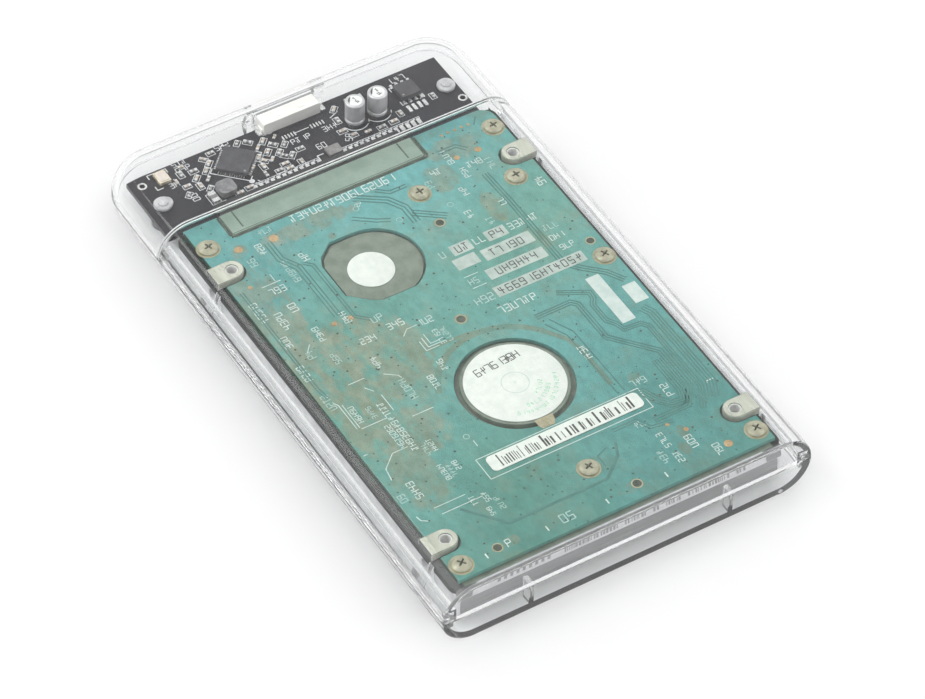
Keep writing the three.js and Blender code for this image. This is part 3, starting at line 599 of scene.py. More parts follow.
def lid_shell():
    """The straight half of the lid, open towards the USB end and closed by a wall at the other."""
    outer = [(SEAM_LID, RADIUS), *reversed(end_rows(RADIUS, -HALF_LENGTH, END_FILLET))]
    inner = [(SEAM_LID, RADIUS - WALL), (WALL - HALF_LENGTH, RADIUS - WALL)]
    loops = []
    for y, radius in outer + inner:
        half = [(CORE_X + r, z) for r, z in profile(radius, RIM_HIGH, True)]
        across = half + [(-x, z) for x, z in reversed(half)]
        loops.append([(x, y, z) for x, z in across])
    n = len(loops[0])
    k = len(outer)
    verts = [p for loop in loops for p in loop]
    faces = []
    for a in [*range(k - 1), k]:
        faces += [[a * n + i, a * n + i + 1, (a + 1) * n + i + 1, (a + 1) * n + i] for i in range(n - 1)]
    faces.append([(k - 1) * n + i for i in range(n)])
    faces.append([(k + 1) * n + i for i in range(n)])
    faces += [[i, i + 1, k * n + i + 1, k * n + i] for i in range(n - 1)]
    right_side = [a * n for a in range(k)]
    left_side = [a * n + n - 1 for a in range(k)]
    faces.append(right_side + left_side[::-1] + [(k + 1) * n - 1, (k + 2) * n - 1, (k + 1) * n, k * n])
    return Shapes().add(verts, faces)


def port_block(z0, z1):
    """Solid backing behind the USB pocket, flush with the rounded end."""
    steps = 10
    heights = [z0 + (z1 - z0) * i / steps for i in range(steps + 1)]
    curve = [(CORE_Y - 0.02 + math.sqrt(RADIUS ** 2 - (z - RADIUS) ** 2), z) for z in heights]
    return along_x([(61.3, z0), *curve, (61.3, z1)], PORT_X - 8.6, PORT_X + 8.6)


def port_tools():
    pocket = rounded(PORT_X - 6.9, PORT_X + 6.9, PORT_Z - 2.9, PORT_Z + 2.9, 1.2)
    window = rounded(PORT_X - 6.6, PORT_X + 6.6, PORT_Z - 2, PORT_Z + 2, 0.6)
    return along_y(pocket, PORT_FACE, 66), along_y(window, 58, PORT_FACE + 0.5)


def tray_extras():
    """Rails, ribs and bosses moulded on the tray, each sunk a little into its wall or floor."""
    rail = [(36.8, 4.6), (38.4, 4.6), (38.5, 6.57), (37.8, 6.57), (37.8, 7.7), (38.2, 7.7),
            (38.2, 8.15), (37, 8.15), (37, 7.7), (37.4, 7.7), (37.4, 6.57), (36.8, 6.57)]
    fin = [(35.2, 1), (37.2, 2.6), (37.9, 4.4), (36.7, 4.5), (35.9, 6.5), (35.6, 9.4), (35.25, 10.3), (35.2, 10.2)]
    shapes = both_sides(lambda: along_y(rail, -63.6, 39))
    for y in (22.4, -54):
        shapes.join(both_sides(lambda: along_y(fin, y - 0.6, y + 0.6)))
    for x in (-20.5, 22):
        shapes.slab(x - 0.5, x + 0.5, -63.6, -61.2, 0.1, 2, 1, 6.2)
    shapes.join(both_sides(lambda: Shapes().slab(30.2, 31.2, -52, 26, 0.2, 2, 1, 1.9)))
    shapes.join(both_sides(lambda: Shapes().slab(20, 21.2, 46, 60, 0.2, 2, 1, 4.9)))
    for x, y in RIVETS.values():
        shapes.disc(x, y, 2.6, 32, 1, 4.9)
    return shapes


tray = object_of("tray_shell", swept_shell(RIM_LOW, False, -HALF_LENGTH, WALL - HALF_LENGTH, True))
carve(tray, tray_extras(), "UNION")
carve(tray, port_block(2.6, RIM_LOW - 0.02), "UNION")
for x, y in RIVETS.values():
    carve(tray, Shapes().disc(x, y, 1.15, 20, 2, 6), "DIFFERENCE")
head = object_of("head_shell", swept_shell(RIM_HIGH, True, SEAM_HEAD, SEAM_HEAD, False))
carve(head, port_block(RIM_HIGH + 0.02, 11.2), "UNION")
for shell in (tray, head):
    for tool in port_tools():
        carve(shell, tool, "DIFFERENCE")
lid = object_of("lid_shell", lid_shell())
lid_rail = [(36.25, 6.93), (38.8, 6.93), (38.6, 9), (36.25, 9)]
carve(lid, both_sides(lambda: along_y(lid_rail, -63.6, SEAM_LID - 0.02)), "UNION")
groove = [(37.2, 6), (38, 6), (38, 7.45), (38.45, 7.45), (38.45, 8.45), (36.75, 8.45),
          (36.75, 7.45), (37.2, 7.45)]
carve(lid, both_sides(lambda: along_y(groove, -63.1, 45)), "DIFFERENCE")


SHOULDER = 10.6 * MM
for shell, cad_name, body in ((tray, "base_tray", "tray"), (head, "head_cover", "tray"), (lid, "slide_cover", "cover")):
    finish_piece(shell, CLEAR, body, [cad_name], bevel=0.1, slot="clear_plastic")
    # The top and its shoulders stay clear; the walls, edges and floor scatter a little light.
    shell.data.materials.append(CLEAR_EDGE)
    for face in shell.data.polygons:
        face.material_index = 0 if face.center.z > SHOULDER and abs(face.normal.z) > 0.3 else 1

dome = [(0, 2.4), (0.9, 2.4), (0.95, 2.6), (0.95, 6.05), (1.75, 6.05), (1.85, 6.15), (1.85, 6.5), (1.7, 6.7),
        (1.2, 6.74), (1.05, 6.72), (0.95, 6.98), (0.5, 7.02), (0, 7.02)]
for side, (x, y) in RIVETS.items():
    piece(f"rivet_{side}", Shapes().lathe(dome, x, y, 40), RIVET_PLASTIC, stands_for=[f"board_rivet_{side}"])


def seam_highlight(y):
    """A thin white strip round the outside of the lid at the seam: a painted highlight."""
    curve = [(CORE_X + r, z) for r, z in profile(RADIUS - 0.06, RIM_HIGH + 0.1, True, 14)]
    loop = curve + [(-x, z) for x, z in reversed(curve)]
    inner = [(x * 0.9965, z - 0.1) for x, z in reversed(loop)]
    return along_y(loop + inner, y, y + 0.24)


# Thin white strips along the parting line and the fins: painted highlights, seen edge-on through the clear wall.
rim_highlights, fin_highlights = Shapes(), Shapes()
rear_middle = (0, 0.4 - HALF_LENGTH)
for reach in (6.2, 5.7):
    path = [(x + nx * reach, y + ny * reach) for (x, y), (nx, ny) in core_path(rear_middle[1])]
    rim_highlights.ribbon([rear_middle, *path, rear_middle], 0.16, 6.5, 6.59)
FIN_EDGE = [(37.2, 2.6), (37.9, 4.4), (36.7, 4.55), (35.92, 6.5), (35.62, 9.4), (35.27, 10.25)]
fin_strip = [(x + 0.03, z) for x, z in FIN_EDGE] + [(x - 0.1, z - 0.04) for x, z in reversed(FIN_EDGE)]
for y in (22.4 - 0.66, 22.4 + 0.56, -54 - 0.66, -54 + 0.56):
    fin_highlights.join(both_sides(lambda: along_y(fin_strip, y, y + 0.1)))

# ---------------------------------------------------------------- drive board: copper, pads, traces

BUNDLES = [
    ([(12, -12.8), (19.6, -12.8), (20.6, -13.9), (20.6, -23.6), (25.4, -29.2), (27.3, -31.4), (27.3, -41.4),
      (24.4, -45.4), (17, -45.4)], 3, 0.56, 0.17),
    ([(18.6, -9.4), (24, -12.4), (23.9, -14), (22.9, -15.4), (22.9, -20), (24, -21.6), (24.6, -23.6), (28, -23.9),
      (29, -25.2), (29, -42.6), (26.4, -47.4)], 3, 0.5, 0.17),
    ([(30.4, -20.6), (31.3, -22.6), (31.3, -42.4), (29.6, -46)], 4, 0.6, 0.17),
    ([(16, -38.2), (19, -38.6), (20.2, -41.4), (22, -43.6), (24.6, -44), (25.4, -41.4), (25.4, -33)], 4, 0.55, 0.17),
    ([(23.6, 24), (23.9, 15), (23.9, -3.6), (26.2, -6.4), (29.6, -9.6), (31.6, -13)], 3, 0.6, 0.18),
    ([(-1.5, 31), (4, 27.2), (5.8, 24), (5.8, 19.5)], 3, 0.75, 0.2),
    ([(3.2, 30.6), (5.4, 28.8), (9, 28.8)], 2, 0.7, 0.2), ([(6.2, 22), (11.6, 18)], 3, 0.7, 0.18),
    ([(-4.4, 26.4), (-0.6, 23.6), (1.8, 22.4)], 2, 0.8, 0.18),
    ([(-24.6, -45.8), (-18.7, -53.1), (2, -53.1), (6.6, -49.4), (8, -46.4)], 1, 1, 0.4),
    ([(13.2, -14.8), (15.4, -19.4), (15.6, -36.5)], 2, 1.5, 0.16),
    ([(-21.3, 29), (-21.3, 24), (-19.4, 20.5), (-19.4, 6)], 3, 0.7, 0.16),
    ([(-18.2, 21), (-16.8, 19.6), (-16.8, 4.4), (-14.6, 2.2)], 2, 0.6, 0.16),
    ([(-31.9, 20), (-31.9, -8), (-31.4, -11)], 2, 0.5, 0.14), ([(6, -46.6), (3.4, -47.6), (3.4, -50.4)], 1, 1, 0.2),
    ([(9, -43.8), (14, -43.8), (15.6, -46.6), (19.8, -47.2)], 2, 0.6, 0.16),
    ([(28.8, 36.4), (30.2, 38.2)], 1, 1, 0.2), ([(18.6, 33.2), (22.6, 33.2), (24.2, 31.4)], 2, 0.7, 0.16),
]
traces = Shapes()
for line, count, pitch, width in BUNDLES:
    for i in range(count):
        track = mitred(line, (i - (count - 1) / 2) * pitch)
        traces.ribbon(track, width * 1.4, BOARD_TOP + 0.005, BOARD_TOP + 0.035)
piece("board_traces", traces, TRACE, slot="board_green")

dark_pour = Shapes()
band = arc(*SPINDLE, 14.2, 160, 35, 26)
for line, width, high in ((band, 1.3, 0.011), ([band[-1], (14.2, -20.5), (15, -24), (15, -34)], 1.1, 0.013),
                          ([(-12.6, -9.6), (-1.6, -9.9), (4.6, -11)], 0.7, 0.0135)):
    dark_pour.ribbon(line, width, BOARD_TOP + 0.002, BOARD_TOP + high)
piece("copper_pour_dark", dark_pour, POUR_DARK, slot="board_green")

pads, rings, hole_shades = Shapes(), Shapes(), Shapes()
for x, y in BOARD_SCREWS:
    rings.ring(x, y, 1, 2.3, LAYER, BOARD_TOP + 0.035, 40)
for x, y, r in ((-26.9, 30, 0.85), (-19.7, 29.3, 0.95), (25.5, -57, 0.85), (25.9, 30.2, 0.7), (21.2, 30.3, 0.6),
                (-21, 4.6, 0.5), (-17.6, 4.4, 0.5), (20.8, -50.2, 0.5), (18.4, -47.6, 0.4), (-29.8, 20.4, 0.45)):
    pads.disc(x, y, r, 20, LAYER, BOARD_TOP + 0.04)
for i in range(5):
    pads.disc(21.8 + 1.5 * i, 36.9 + 0.1 * (i % 2), 0.32, 14, LAYER, BOARD_TOP + 0.05)
# Holes in the board are flat dark discs: painted shade in place of their depth, some ringed with a pad.
for x, y, r in ((-0.2, -6.2, 1.05), (9.4, 17.1, 0.95), (-23.6, -56.9, 0.95), (6, -56.7, 1), (31.4, -1.2, 0.9)):
    rings.ring(x, y, r * 0.86, r * 1.12, LAYER, BOARD_TOP + 0.03, 28)
    hole_shades.disc(x, y, r * 0.84, 28, LAYER, BOARD_TOP + 0.012)


def on_board(x, y):
    """True where the board is free: off its openings, lugs, screws, labels, prints and plug."""
    if not (-32.6 < x < 33 and -59 < y < 38.4):
        return False
    boxes = [(-27, 17.4, 32.6, 40), (5, 29, -5.6, 11.4), (24.6, 33.4, -22.8, -8.8), (-17, 19, -43, -37)]
    discs = [(*SPINDLE, 12.5), (-6.4, 13.9, 10.5)] + [(sx, sy, 3.5) for sx, sy in BOARD_SCREWS]
    discs += [(31 * side, sy, 4.5) for side, sy in LUGS]
    return (not any(x0 < x < x1 and y0 < y < y1 for x0, x1, y0, y1 in boxes)
            and all(math.hypot(x - cx, y - cy) > r for cx, cy, r in discs))


# Vias: small dark discs of painted shade.
placed = 0
while placed < 210:
    x, y = rng.uniform(-32, 32.5), rng.uniform(-58.5, 38)
    if on_board(x, y):
        hole_shades.disc(x, y, rng.choice((0.14, 0.18, 0.24)), 10, LAYER, BOARD_TOP + 0.022)
        placed += 1
piece("pad_rings", rings, TAN_PAD, slot="board_green")
piece("test_pads", pads, COPPER_PAD, slot="board_green")
piece("board_hole_shades", hole_shades, HOLE_SHADE, slot="board_green")

# ---------------------------------------------------------------- drive board: print


CHARACTERS = ("abcdef", "bc", "abged", "abgcd", "fgbc", "afgcd", "afgedc", "abc", "abcdefg", "abcdfg", "efgbc", "ai",
              "efabg", "def", "bcdef", "fgi", "aei", "gbi")


def glyph(shapes, x, y, angle, height, z, width):
    """One made-up character, drawn with the strokes of a small grid."""
    w, h = height * 0.54, height
    strokes = {
        "a": [(0, h), (w, h)], "b": [(w, h / 2), (w, h)], "c": [(w, 0), (w, h / 2)], "d": [(0, 0), (w, 0)],
        "e": [(0, 0), (0, h / 2)], "f": [(0, h / 2), (0, h)], "g": [(0, h / 2), (w, h / 2)],
        "i": [(w / 2, 0), (w / 2, h)],
    }
    for key in rng.choice(CHARACTERS):
        shapes.ribbon(turned(strokes[key], angle, x, y), width, z, z + 0.02)


def marks(shapes, x, y, angle, count, height, z, width=0, pitch=0.82):
    """A row of meaningless characters, in place of lettering."""
    for i in range(count):
        gx, gy = turned([(i * pitch * height, 0)], angle, x, y)[0]
        glyph(shapes, gx, gy, angle, height, z, width or 0.12 * height)


silk, faint = Shapes(), Shapes()
top = BOARD_TOP + 0.012
SILK_ROWS = [
    (-14.4, 31.1, 0, 16, 1.75), (-21.6, 31.2, 0, 3, 1.3), (-31, 11.4, 90, 5, 1.35), (-31.4, -5.4, 90, 4, 1.3),
    (-31.2, -13.8, 90, 4, 1.3), (-28.2, 7.8, 90, 4, 1.45), (-30.4, 3.4, 90, 3, 1.35), (-28, -0.9, 90, 2, 1.5),
    (-27.4, 16.6, 0, 3, 1.5), (-24.8, 11, 90, 2, 1.5), (-20.6, 17.4, 90, 6, 1.25), (-16.4, 21.3, 90, 2, 1.5),
    (-22.6, 26.6, 90, 3, 1.3), (-25.6, 24.8, 90, 2, 1.4), (-24.2, 2, 90, 4, 1.2), (-17.8, 3.6, 90, 3, 1.3),
    (-14.6, 1.1, 0, 2, 1.6), (-19.2, -2.6, 0, 3, 1.4), (-13, -1.9, 0, 3, 1.5), (-24.6, -4.4, 90, 3, 1.2),
    (-7.8, -3.9, 0, 3, 1.45), (-5.4, -9.8, 90, 5, 1), (-4, -9.8, 90, 5, 1), (-8.5, -15.5, 90, 3, 1.2),
    (-18.6, -9, 90, 3, 1.3), (-17, -18.8, 90, 5, 1.35), (-12, -19, 90, 4, 1.2), (-28.6, -19, 90, 5, 1.1),
    (-25.9, -19.4, 90, 4, 1), (-23.4, -29.6, 90, 13, 1.25), (-25.1, -28, 90, 7, 1.1), (-21.9, -32, 90, 4, 1),
    (-20.5, -31.6, 90, 4, 1), (-22, -38.8, 90, 5, 1), (-20.6, -38.8, 90, 4, 1), (-19.2, -37.6, 90, 3, 1),
    (-28.6, -40, 90, 4, 1.4), (-31.5, -39.4, 90, 2, 1.3), (-21, -46.4, 90, 3, 1), (-18.6, -46.8, 90, 3, 1),
    (-17.2, -49.6, 90, 4, 1), (-19.6, -50, 90, 3, 0.9), (-21.8, -57.8, 0, 1, 1.7), (-10.4, -58, 0, 2, 1.9),
    (20.2, 29.4, 90, 4, 1.2), (14.6, 28.2, 0, 2, 1.45), (13.6, 25.8, 90, 2, 1.3), (21.1, 24.8, 90, 3, 1.2),
    (21.9, 26.8, 0, 3, 1.4), (26.7, 24.4, 90, 3, 1.3), (18.4, 20.2, 90, 3, 1.3), (16, 15.4, 90, 2, 1.3),
    (18.6, 12, 90, 2, 1.3), (23.1, 15.2, 90, 2, 1.3), (32.5, 16, 90, 2, 1.6), (4.9, 8.8, 0, 1, 1.6),
    (12.3, 8.8, 0, 2, 1.6), (20, 8.8, 0, 5, 1.6), (25.4, 5.2, 0, 3, 1.4), (25.2, 2.4, 0, 3, 1.3),
    (25.6, -0.6, 0, 3, 1.3), (4.4, -4.9, 0, 3, 1.75), (7, -8.9, 0, 6, 1.7), (15.8, -27.2, 90, 4, 1.4),
    (18, -36.7, 0, 3, 1.45), (23.8, -41.8, 90, 3, 1.4), (32, -42.6, 90, 1, 1.6), (13, -45.6, 0, 2, 1.5),
    (16.4, -52.2, 90, 4, 1.2), (16.6, -56.4, 90, 3, 1.2), (14.2, -55.2, 90, 3, 1.3), (20.7, -54.6, 90, 3, 1.4),
    (23.9, -58.6, 90, 3, 1.3), (6, 0.2, 0, 2, 1.4), (-1.6, 28.4, 45, 2, 0.9),
]
for i, (x, y, angle, count, height) in enumerate(SILK_ROWS):
    marks(faint if i % 3 == 1 else silk, x, y, angle, count, height, top)
SILK_LINES = [
    [(-28, 19.3), (-24, 19.3)], [(-25, 21.6), (-25, 19.6)], [(5.8, 2.5), (8.8, 2.5)],
    [(5.8, -0.7), (8.8, -0.7)], [(-31.2, -12.4), (-30.7, -13.4), (-30.7, -20)], [(-30.1, -13.6), (-30.1, -20)],
    [(-32.9, -26.2), (-32.1, -26.2)], [(-31.6, -33.8), (-31.2, -31), (-28.2, -28.3), (-25, -28.3)],
    [(-30, -20.4), (-24.6, -20.4)], [(-28.5, -43.3), (-22, -43.3)], [(-28, -45.2), (-19.5, -45.2)],
    [(-32.2, -43.4), (-32, -44.6), (-31, -45.4)], [(-26.6, -9.9), (-23.2, -9.9)], [(-24.4, -12), (-23.3, -13.6)],
    [(-19.6, -10.8), (-17.5, -12.4), (-17.2, -13.2)], [(-11.6, -4.6), (-10.2, -3.3), (-8, -3.3)],
    [(-9.8, -7.2), (-9.8, -9.8), (-7, -9.8)], [(-9, -6.6), (-9, -9.2), (-6.4, -9.2)],
    [(-8.2, -6), (-8.2, -8.6), (-6.2, -8.6)], [(31.6, -38.6), (31.6, -39.4)], [(-22.6, -15), (-22.6, -19.4)],
    [(-27.6, 2.4), (-29, 0.8)], [(-14, -33), (-14, -34.6)], [(-20.4, -22.4), (-16, -22.4)],
]
for line in SILK_LINES:
    silk.ribbon(line, 0.15, top, top + 0.02)
for x in (-26.3, -13.6, -0.9, 11.7):
    silk.ribbon([(x, -57), (x, -58.2)], 0.28, top, top + 0.02)
silk.ribbon([(-16.1, -42.6), (18.6, -42.6), (18.6, -37.3), (-16.1, -37.3)], 0.16, top, top + 0.02, closed=True)
for x, y in ((-2.4, 28.2), (3.2, 21.6), (13.6, 20.2), (-14.6, -31.6)):
    faint.ring(x, y, 0.5, 0.62, top, top + 0.015, 18)
piece("silk_marks", silk, SILK, slot="paper")
piece("silk_marks_faint", faint, SILK_FAINT, slot="paper")

LABEL_BARS = [
    (7.3, 11.6, 8.1, 10.8), (14.9, 19.3, 8.1, 10.8), (6, 10.9, 4.5, 7.4), (11.9, 22.6, 4, 7),
    (10, 22.6, -0.6, 2.2), (8.9, 28.4, -5.1, -2.4), (25.1, 28, -22.3, -9.2), (30, 32.9, -19.2, -14.2),
]
bars, soft_bars = Shapes(), Shapes()
for x0, x1, y0, y1 in LABEL_BARS:
    (bars if x0 > 25 else soft_bars).slab(x0, x1, y0, y1, 0.12, 2, BOARD_TOP + 0.004, BOARD_TOP + 0.05)
piece("print_bars", bars, WHITE_PRINT, slot="paper")
piece("label_bars", soft_bars, BAR_PRINT, slot="paper")
ink = Shapes()
for x0, y0, count in ((8.3, 8.6, 2), (15.9, 8.6, 2), (13.4, 4.6, 5), (12, 0, 6), (9.8, -4.6, 12)):
    marks(ink, x0, y0, 0, count, 1.7, BOARD_TOP + 0.052, 0.2, 0.9)
marks(ink, -5.2, -20.4, 4, 8, 1.7, 10.89, 0.17, 0.72)
marks(ink, 1.6, -19.6, 4, 3, 0.8, 10.89, 0.1)
x = -12.6
while x < 15.6:
    width = rng.choice((0.14, 0.14, 0.26, 0.4))
    tall = rng.choice((1.8, 2.2, 2.2, 2.9))
    ink.slab(x, x + width, -41.1, -41.1 + tall, 0.03, 1, 10.905, 10.925)
    x += width + rng.choice((0.18, 0.3, 0.3, 0.55, 0.9))
piece("label_print", ink, INK, slot="paper")

motor = Shapes().lathe([(0, 10.75), (9.45, 10.75), (9.6, 10.78), (9.6, 10.84), (9.5, 10.88), (0, 10.88)], *SPINDLE, 96)
piece("motor_sticker", motor, PAPER, stands_for=["spindle_label"], slot="paper")
pivot = Shapes().lathe([(0, 10.25), (4.4, 10.25), (4.5, 10.28), (4.5, 10.34), (4.4, 10.38), (0, 10.38)], *PIVOT, 72)
piece("pivot_sticker", pivot, PAPER, stands_for=["pivot_label"], slot="paper")
strip = Shapes().slab(-14.7, 17.7, -41.6, -37.8, 1, 6, 10.75, 10.9)
piece("code_sticker", strip, PAPER, stands_for=["barcode_label"], bevel=0.03, slot="paper")
green_marks = Shapes()
for radius, a0, a1, step in ((8, -118, -8, 6.5), (6.4, -100, -28, 8), (4.9, -66, -22, 10)):
    a = a0
    while a < a1:
        marks(green_marks, *turned([(radius, 0)], a, *SPINDLE)[0], a + 90, 1, 0.75, LABEL_TOP, 0.1)
        a += step
piece("sticker_print", green_marks, GREEN_INK, slot="paper")
embossed = Shapes().ring(*SPINDLE, 2.5, 2.66, 10.882, 10.9, 48).ring(*SPINDLE, 0.12, 0.24, 10.882, 10.9, 12)
piece("sticker_emboss", embossed, WHITE_PRINT, slot="paper")
tab = [(-2, -34.6), (1.9, -34.6), (1.6, -36.1), (1, -37), (-1.5, -37), (-1.9, -36.2)]
flex = Shapes().prism(tab, BOARD_TOP + 0.01, BOARD_TOP + 0.09)
for i in range(3):
    flex.slab(-1.3 + i, -0.7 + i, -36.7, -35.7, 0.1, 2, BOARD_TOP + 0.09, BOARD_TOP + 0.16)
piece("motor_flex", flex, TAN_PAD, bevel=0.02, slot="amber_film")

# ---------------------------------------------------------------- drive: lugs, screws, plug, ends

# Near-black strips on the board's long edges: the edge with painted shade of the gap beside it; dark bits below the
# left edge in the same tone.
edge = Shapes()
for x0, x1 in ((-33.5, -33.41), (33.71, 33.8)):
    for y0, y1 in ((-59.6, -53.9), (-48.1, 22.7), (28.5, 39)):
        edge.slab(x0, x1, y0, y1, 0.02, 1, 9.9, 10.69)
for k in range(46):
    y = rng.uniform(-59, 38)
    if min(abs(y - 25.6), abs(y + 51)) > 3.4:
        edge.slab(-34.1, -33.6, y, y + rng.uniform(0.4, 1.6), 0.1, 2, 9.62, 9.8)
piece("board_edge_shade", edge, EDGE_GREEN_SHADE, slot="board_green")

lug_faces, threads, lug_sides = Shapes(), Shapes(), Shapes()
for side, y in LUGS:
    # A face with a round hole: the inner circle is joined to the outline by a strip of quads.
    outer = arc(LUG_X, y, 2.12, 90, 270, 10)
    outer += [(34.75, y + step) for step in (-2.12, -1, -0.4, 0, 0.4, 1, 1.6, 2.12)] + [(33, y + 2.12)]
    hole = circle(LUG_X, y, 1.3, 20, math.pi / 2)
    n = len(hole)
    verts = [(side * px, py, z) for z in (11.505, 11.56) for loop in (outer, hole) for px, py in loop]
    faces = []
    for i in range(n):
        o0, h0, o1, h1 = (k * n + i for k in range(4))
        p0, g0, p1, g1 = (k * n + (i + 1) % n for k in range(4))
        faces += [[o1, p1, g1, h1], [o0, h0, g0, p0], [o0, p0, p1, o1], [h0, h1, g1, g0]]
    lug_faces.add(verts, faces)
    for k in range(6):
        threads.ring(side * LUG_X, y, 1.02, 1.32, 9.5 + 0.33 * k, 9.68 + 0.33 * k, 28)
    threads.disc(side * LUG_X, y, 1.3, 28, 9.35, 9.45)
    wrap = [(34.9, y - 2.24), (LUG_X, y - 2.24), *arc(LUG_X, y, 2.24, 270, 90, 18), (34.9, y + 2.24)]
    lug_sides.ribbon([(side * px, py) for px, py in wrap], 0.06, 10.2, 11.49)
piece("lug_faces", lug_faces, LUG_FACE, slot="sheet_aluminium")
piece("lug_threads", threads, BORE, slot="sheet_aluminium")
piece("lug_sides", lug_sides, LUG_SIDE, slot="sheet_aluminium")

# White strips that paint the highlights on the seam, the parting line and the fins.
piece("seam_highlight_lid", seam_highlight(SEAM_LID - 0.3), FROST_HIGHLIGHT, body="cover", slot="clear_plastic")
piece("seam_highlight_head", seam_highlight(SEAM_HEAD + 0.02), FROST_HIGHLIGHT, slot="clear_plastic")
piece("rim_highlights", rim_highlights, FROST_HIGHLIGHT, slot="clear_plastic")
piece("fin_highlights", fin_highlights, FROST_HIGHLIGHT, slot="clear_plastic")
# Dark strips along the USB pocket's ceiling, floor and sides: painted shade at its edges.
port_lines = Shapes()
for y0, y1, zz, reach in ((63.5, 63.62, 9.72, 6.7), (62.92, 63.02, 9.72, 6.8), (62.93, 63, 4.1, 6.7)):
    port_lines.slab(PORT_X - reach, PORT_X + reach, y0, y1, 0.03, 1, zz, zz + 0.06)
for x in (PORT_X - 6.82, PORT_X + 6.82):
    port_lines.slab(x - 0.06, x + 0.06, 62.95, 64.1, 0.02, 1, 5.2, 8.9)
port_lines.join(along_x([(62.95, 9.5), (63.9, 9.5), (63.9, 9.83), (62.95, 9.83)], PORT_X - 6.8, PORT_X + 6.8))
piece("port_shadow_lines", port_lines, SHADOW_LINE, slot="clear_plastic")
HEAD_PROFILE = [
    (0, 10.76), (1.78, 10.76), (1.86, 10.82), (1.86, 11), (1.72, 11.2), (1.4, 11.36), (0.9, 11.44), (0, 11.46)]
recess_shades = Shapes()
for i, (x, y) in enumerate(BOARD_SCREWS, 1):
    shank = [(0, 9.1), (0.7, 9.1), (0.75, 9.2), (0.75, 10.9), (0, 10.9)]
    screw = object_of(f"screw_{i}", Shapes().lathe(HEAD_PROFILE, x, y, 48).lathe(shank, x, y, 24))
    angle = rng.uniform(5, 40)
    cross = Shapes()
    for a, b in ((0.9, 0.2), (0.2, 0.9)):
        cross.prism(turned(rounded(-a, a, -b, b, 0.08, 2), angle, x, y), 11.02, 12)
    # A dark cross at the bottom of each recess: painted shade.
    for a, b in ((0.85, 0.16), (0.16, 0.85)):
        recess_shades.prism(turned(rounded(-a, a, -b, b, 0.08, 2), angle, x, y), 11, 11.1)
    carve(screw, cross, "DIFFERENCE")
    finish_piece(screw, NICKEL, stands_for=[f"board_screw_{i}"], bevel=0.03, slot="nickel_screw")
piece("screw_recess_shade", recess_shades, HOLE_SHADE, slot="nickel_screw")

# Dark sage lines on the plug: painted shade in its grooves and round its frame.
groove_shades = Shapes()
for x in (-23.1, 13.2):
    groove_shades.ribbon([(x, 34.9), (x, 39.4)], 0.3, 10.751, 10.775)
groove_shades.ribbon([(-25.4, 34.2), (15.9, 34.2)], 0.14, 10.751, 10.77)
groove_shades.ribbon([(-25.85, 39.3), (-25.85, 34.2), (-25.4, 33.75), (15.9, 33.75), (16.35, 34.2), (16.35, 39.3)], 0.34,
               10.751, 10.772)
piece("plug_groove_shades", groove_shades, SAGE_SHADE, slot="sage_plastic")
# A dark band on the board round the plug: painted shade in the gap round it.
outline = Shapes()
outline.ribbon([(-26.35, 39.2), (-26.35, 34.1), (-25.6, 33.3), (16.2, 33.3), (16.85, 34.1), (16.85, 39.2)], 0.45,
               BOARD_TOP + 0.002, BOARD_TOP + 0.014)
piece("plug_gap_shade", outline, HOLE_SHADE, slot="board_green")

contacts = Shapes()
x = -21.4
while x < 12.4:
    if not -6.2 < x < -4.2:
        contacts.slab(x, x + 0.7, 35.4, 38.9, 0.1, 2, 9.32, 9.38)
    x += 1.27
piece("plug_contacts", contacts, COPPER_PAD, slot="bright_steel")

rear = along_y(rounded(-30.5, 30.5, 6.6, 9.5, 0.4), REAR_Y - 0.01, REAR_Y + 0.06)
piece("rear_label", rear, REAR_PAPER, slot="paper")
rear_plate = Shapes()
for x0, x1, z0, z1 in ((-33.6, 33.6, 3.1, 6.5), (-34.4, -31.2, 6.7, 9.5), (31.2, 34.4, 6.7, 9.5)):
    rear_plate.join(along_y(rounded(x0, x1, z0, z1), REAR_Y, REAR_Y + 0.07))
piece("rear_face", rear_plate, REAR_METAL, slot="cast_aluminium")
rear_ink = Shapes()
x = -12
while x < 27:
    width = rng.choice((0.16, 0.16, 0.3, 0.45))
    rear_ink.join(along_y(rounded(x, x + width, 7.2, 9.1, 0.03, 1), -60.88, -60.845))
    x += width + (rng.choice((0.2, 0.3, 0.5)) if rng.random() > 0.08 else 1.6)
for i in range(9):
    rear_ink.join(along_y(rounded(-26 + 1.3 * i, -25.4 + 1.3 * i, 7.3, 8.4, 0.03, 1), -60.88, -60.845))
piece("rear_print", rear_ink, REAR_INK, slot="paper")

under = Shapes()
for k in range(9):
    y, span = 30 - 3.4 * k, rng.randrange(18, 44)
    marks(under, -26, y, 0, span // 2, 1.2, 1.815, 0.22, 0.8)
for k in range(40):
    w = rng.choice((0.2, 0.2, 0.4, 0.6))
    under.slab(-20 + k, -20 + k + w, -9.5, -3.5, 0.03, 1, 1.815, 1.84)
piece("under_print", under, INK, slot="paper")

# ---------------------------------------------------------------- adapter board parts

print_low = ADAPTER_TOP + 0.01
adapter_silk, bodies, tan_bodies, ends, solder = (Shapes() for _ in range(5))


def outline_print(points, width, closed=False):
    adapter_silk.ribbon(points, width, print_low, ADAPTER_TOP + 0.035, closed)


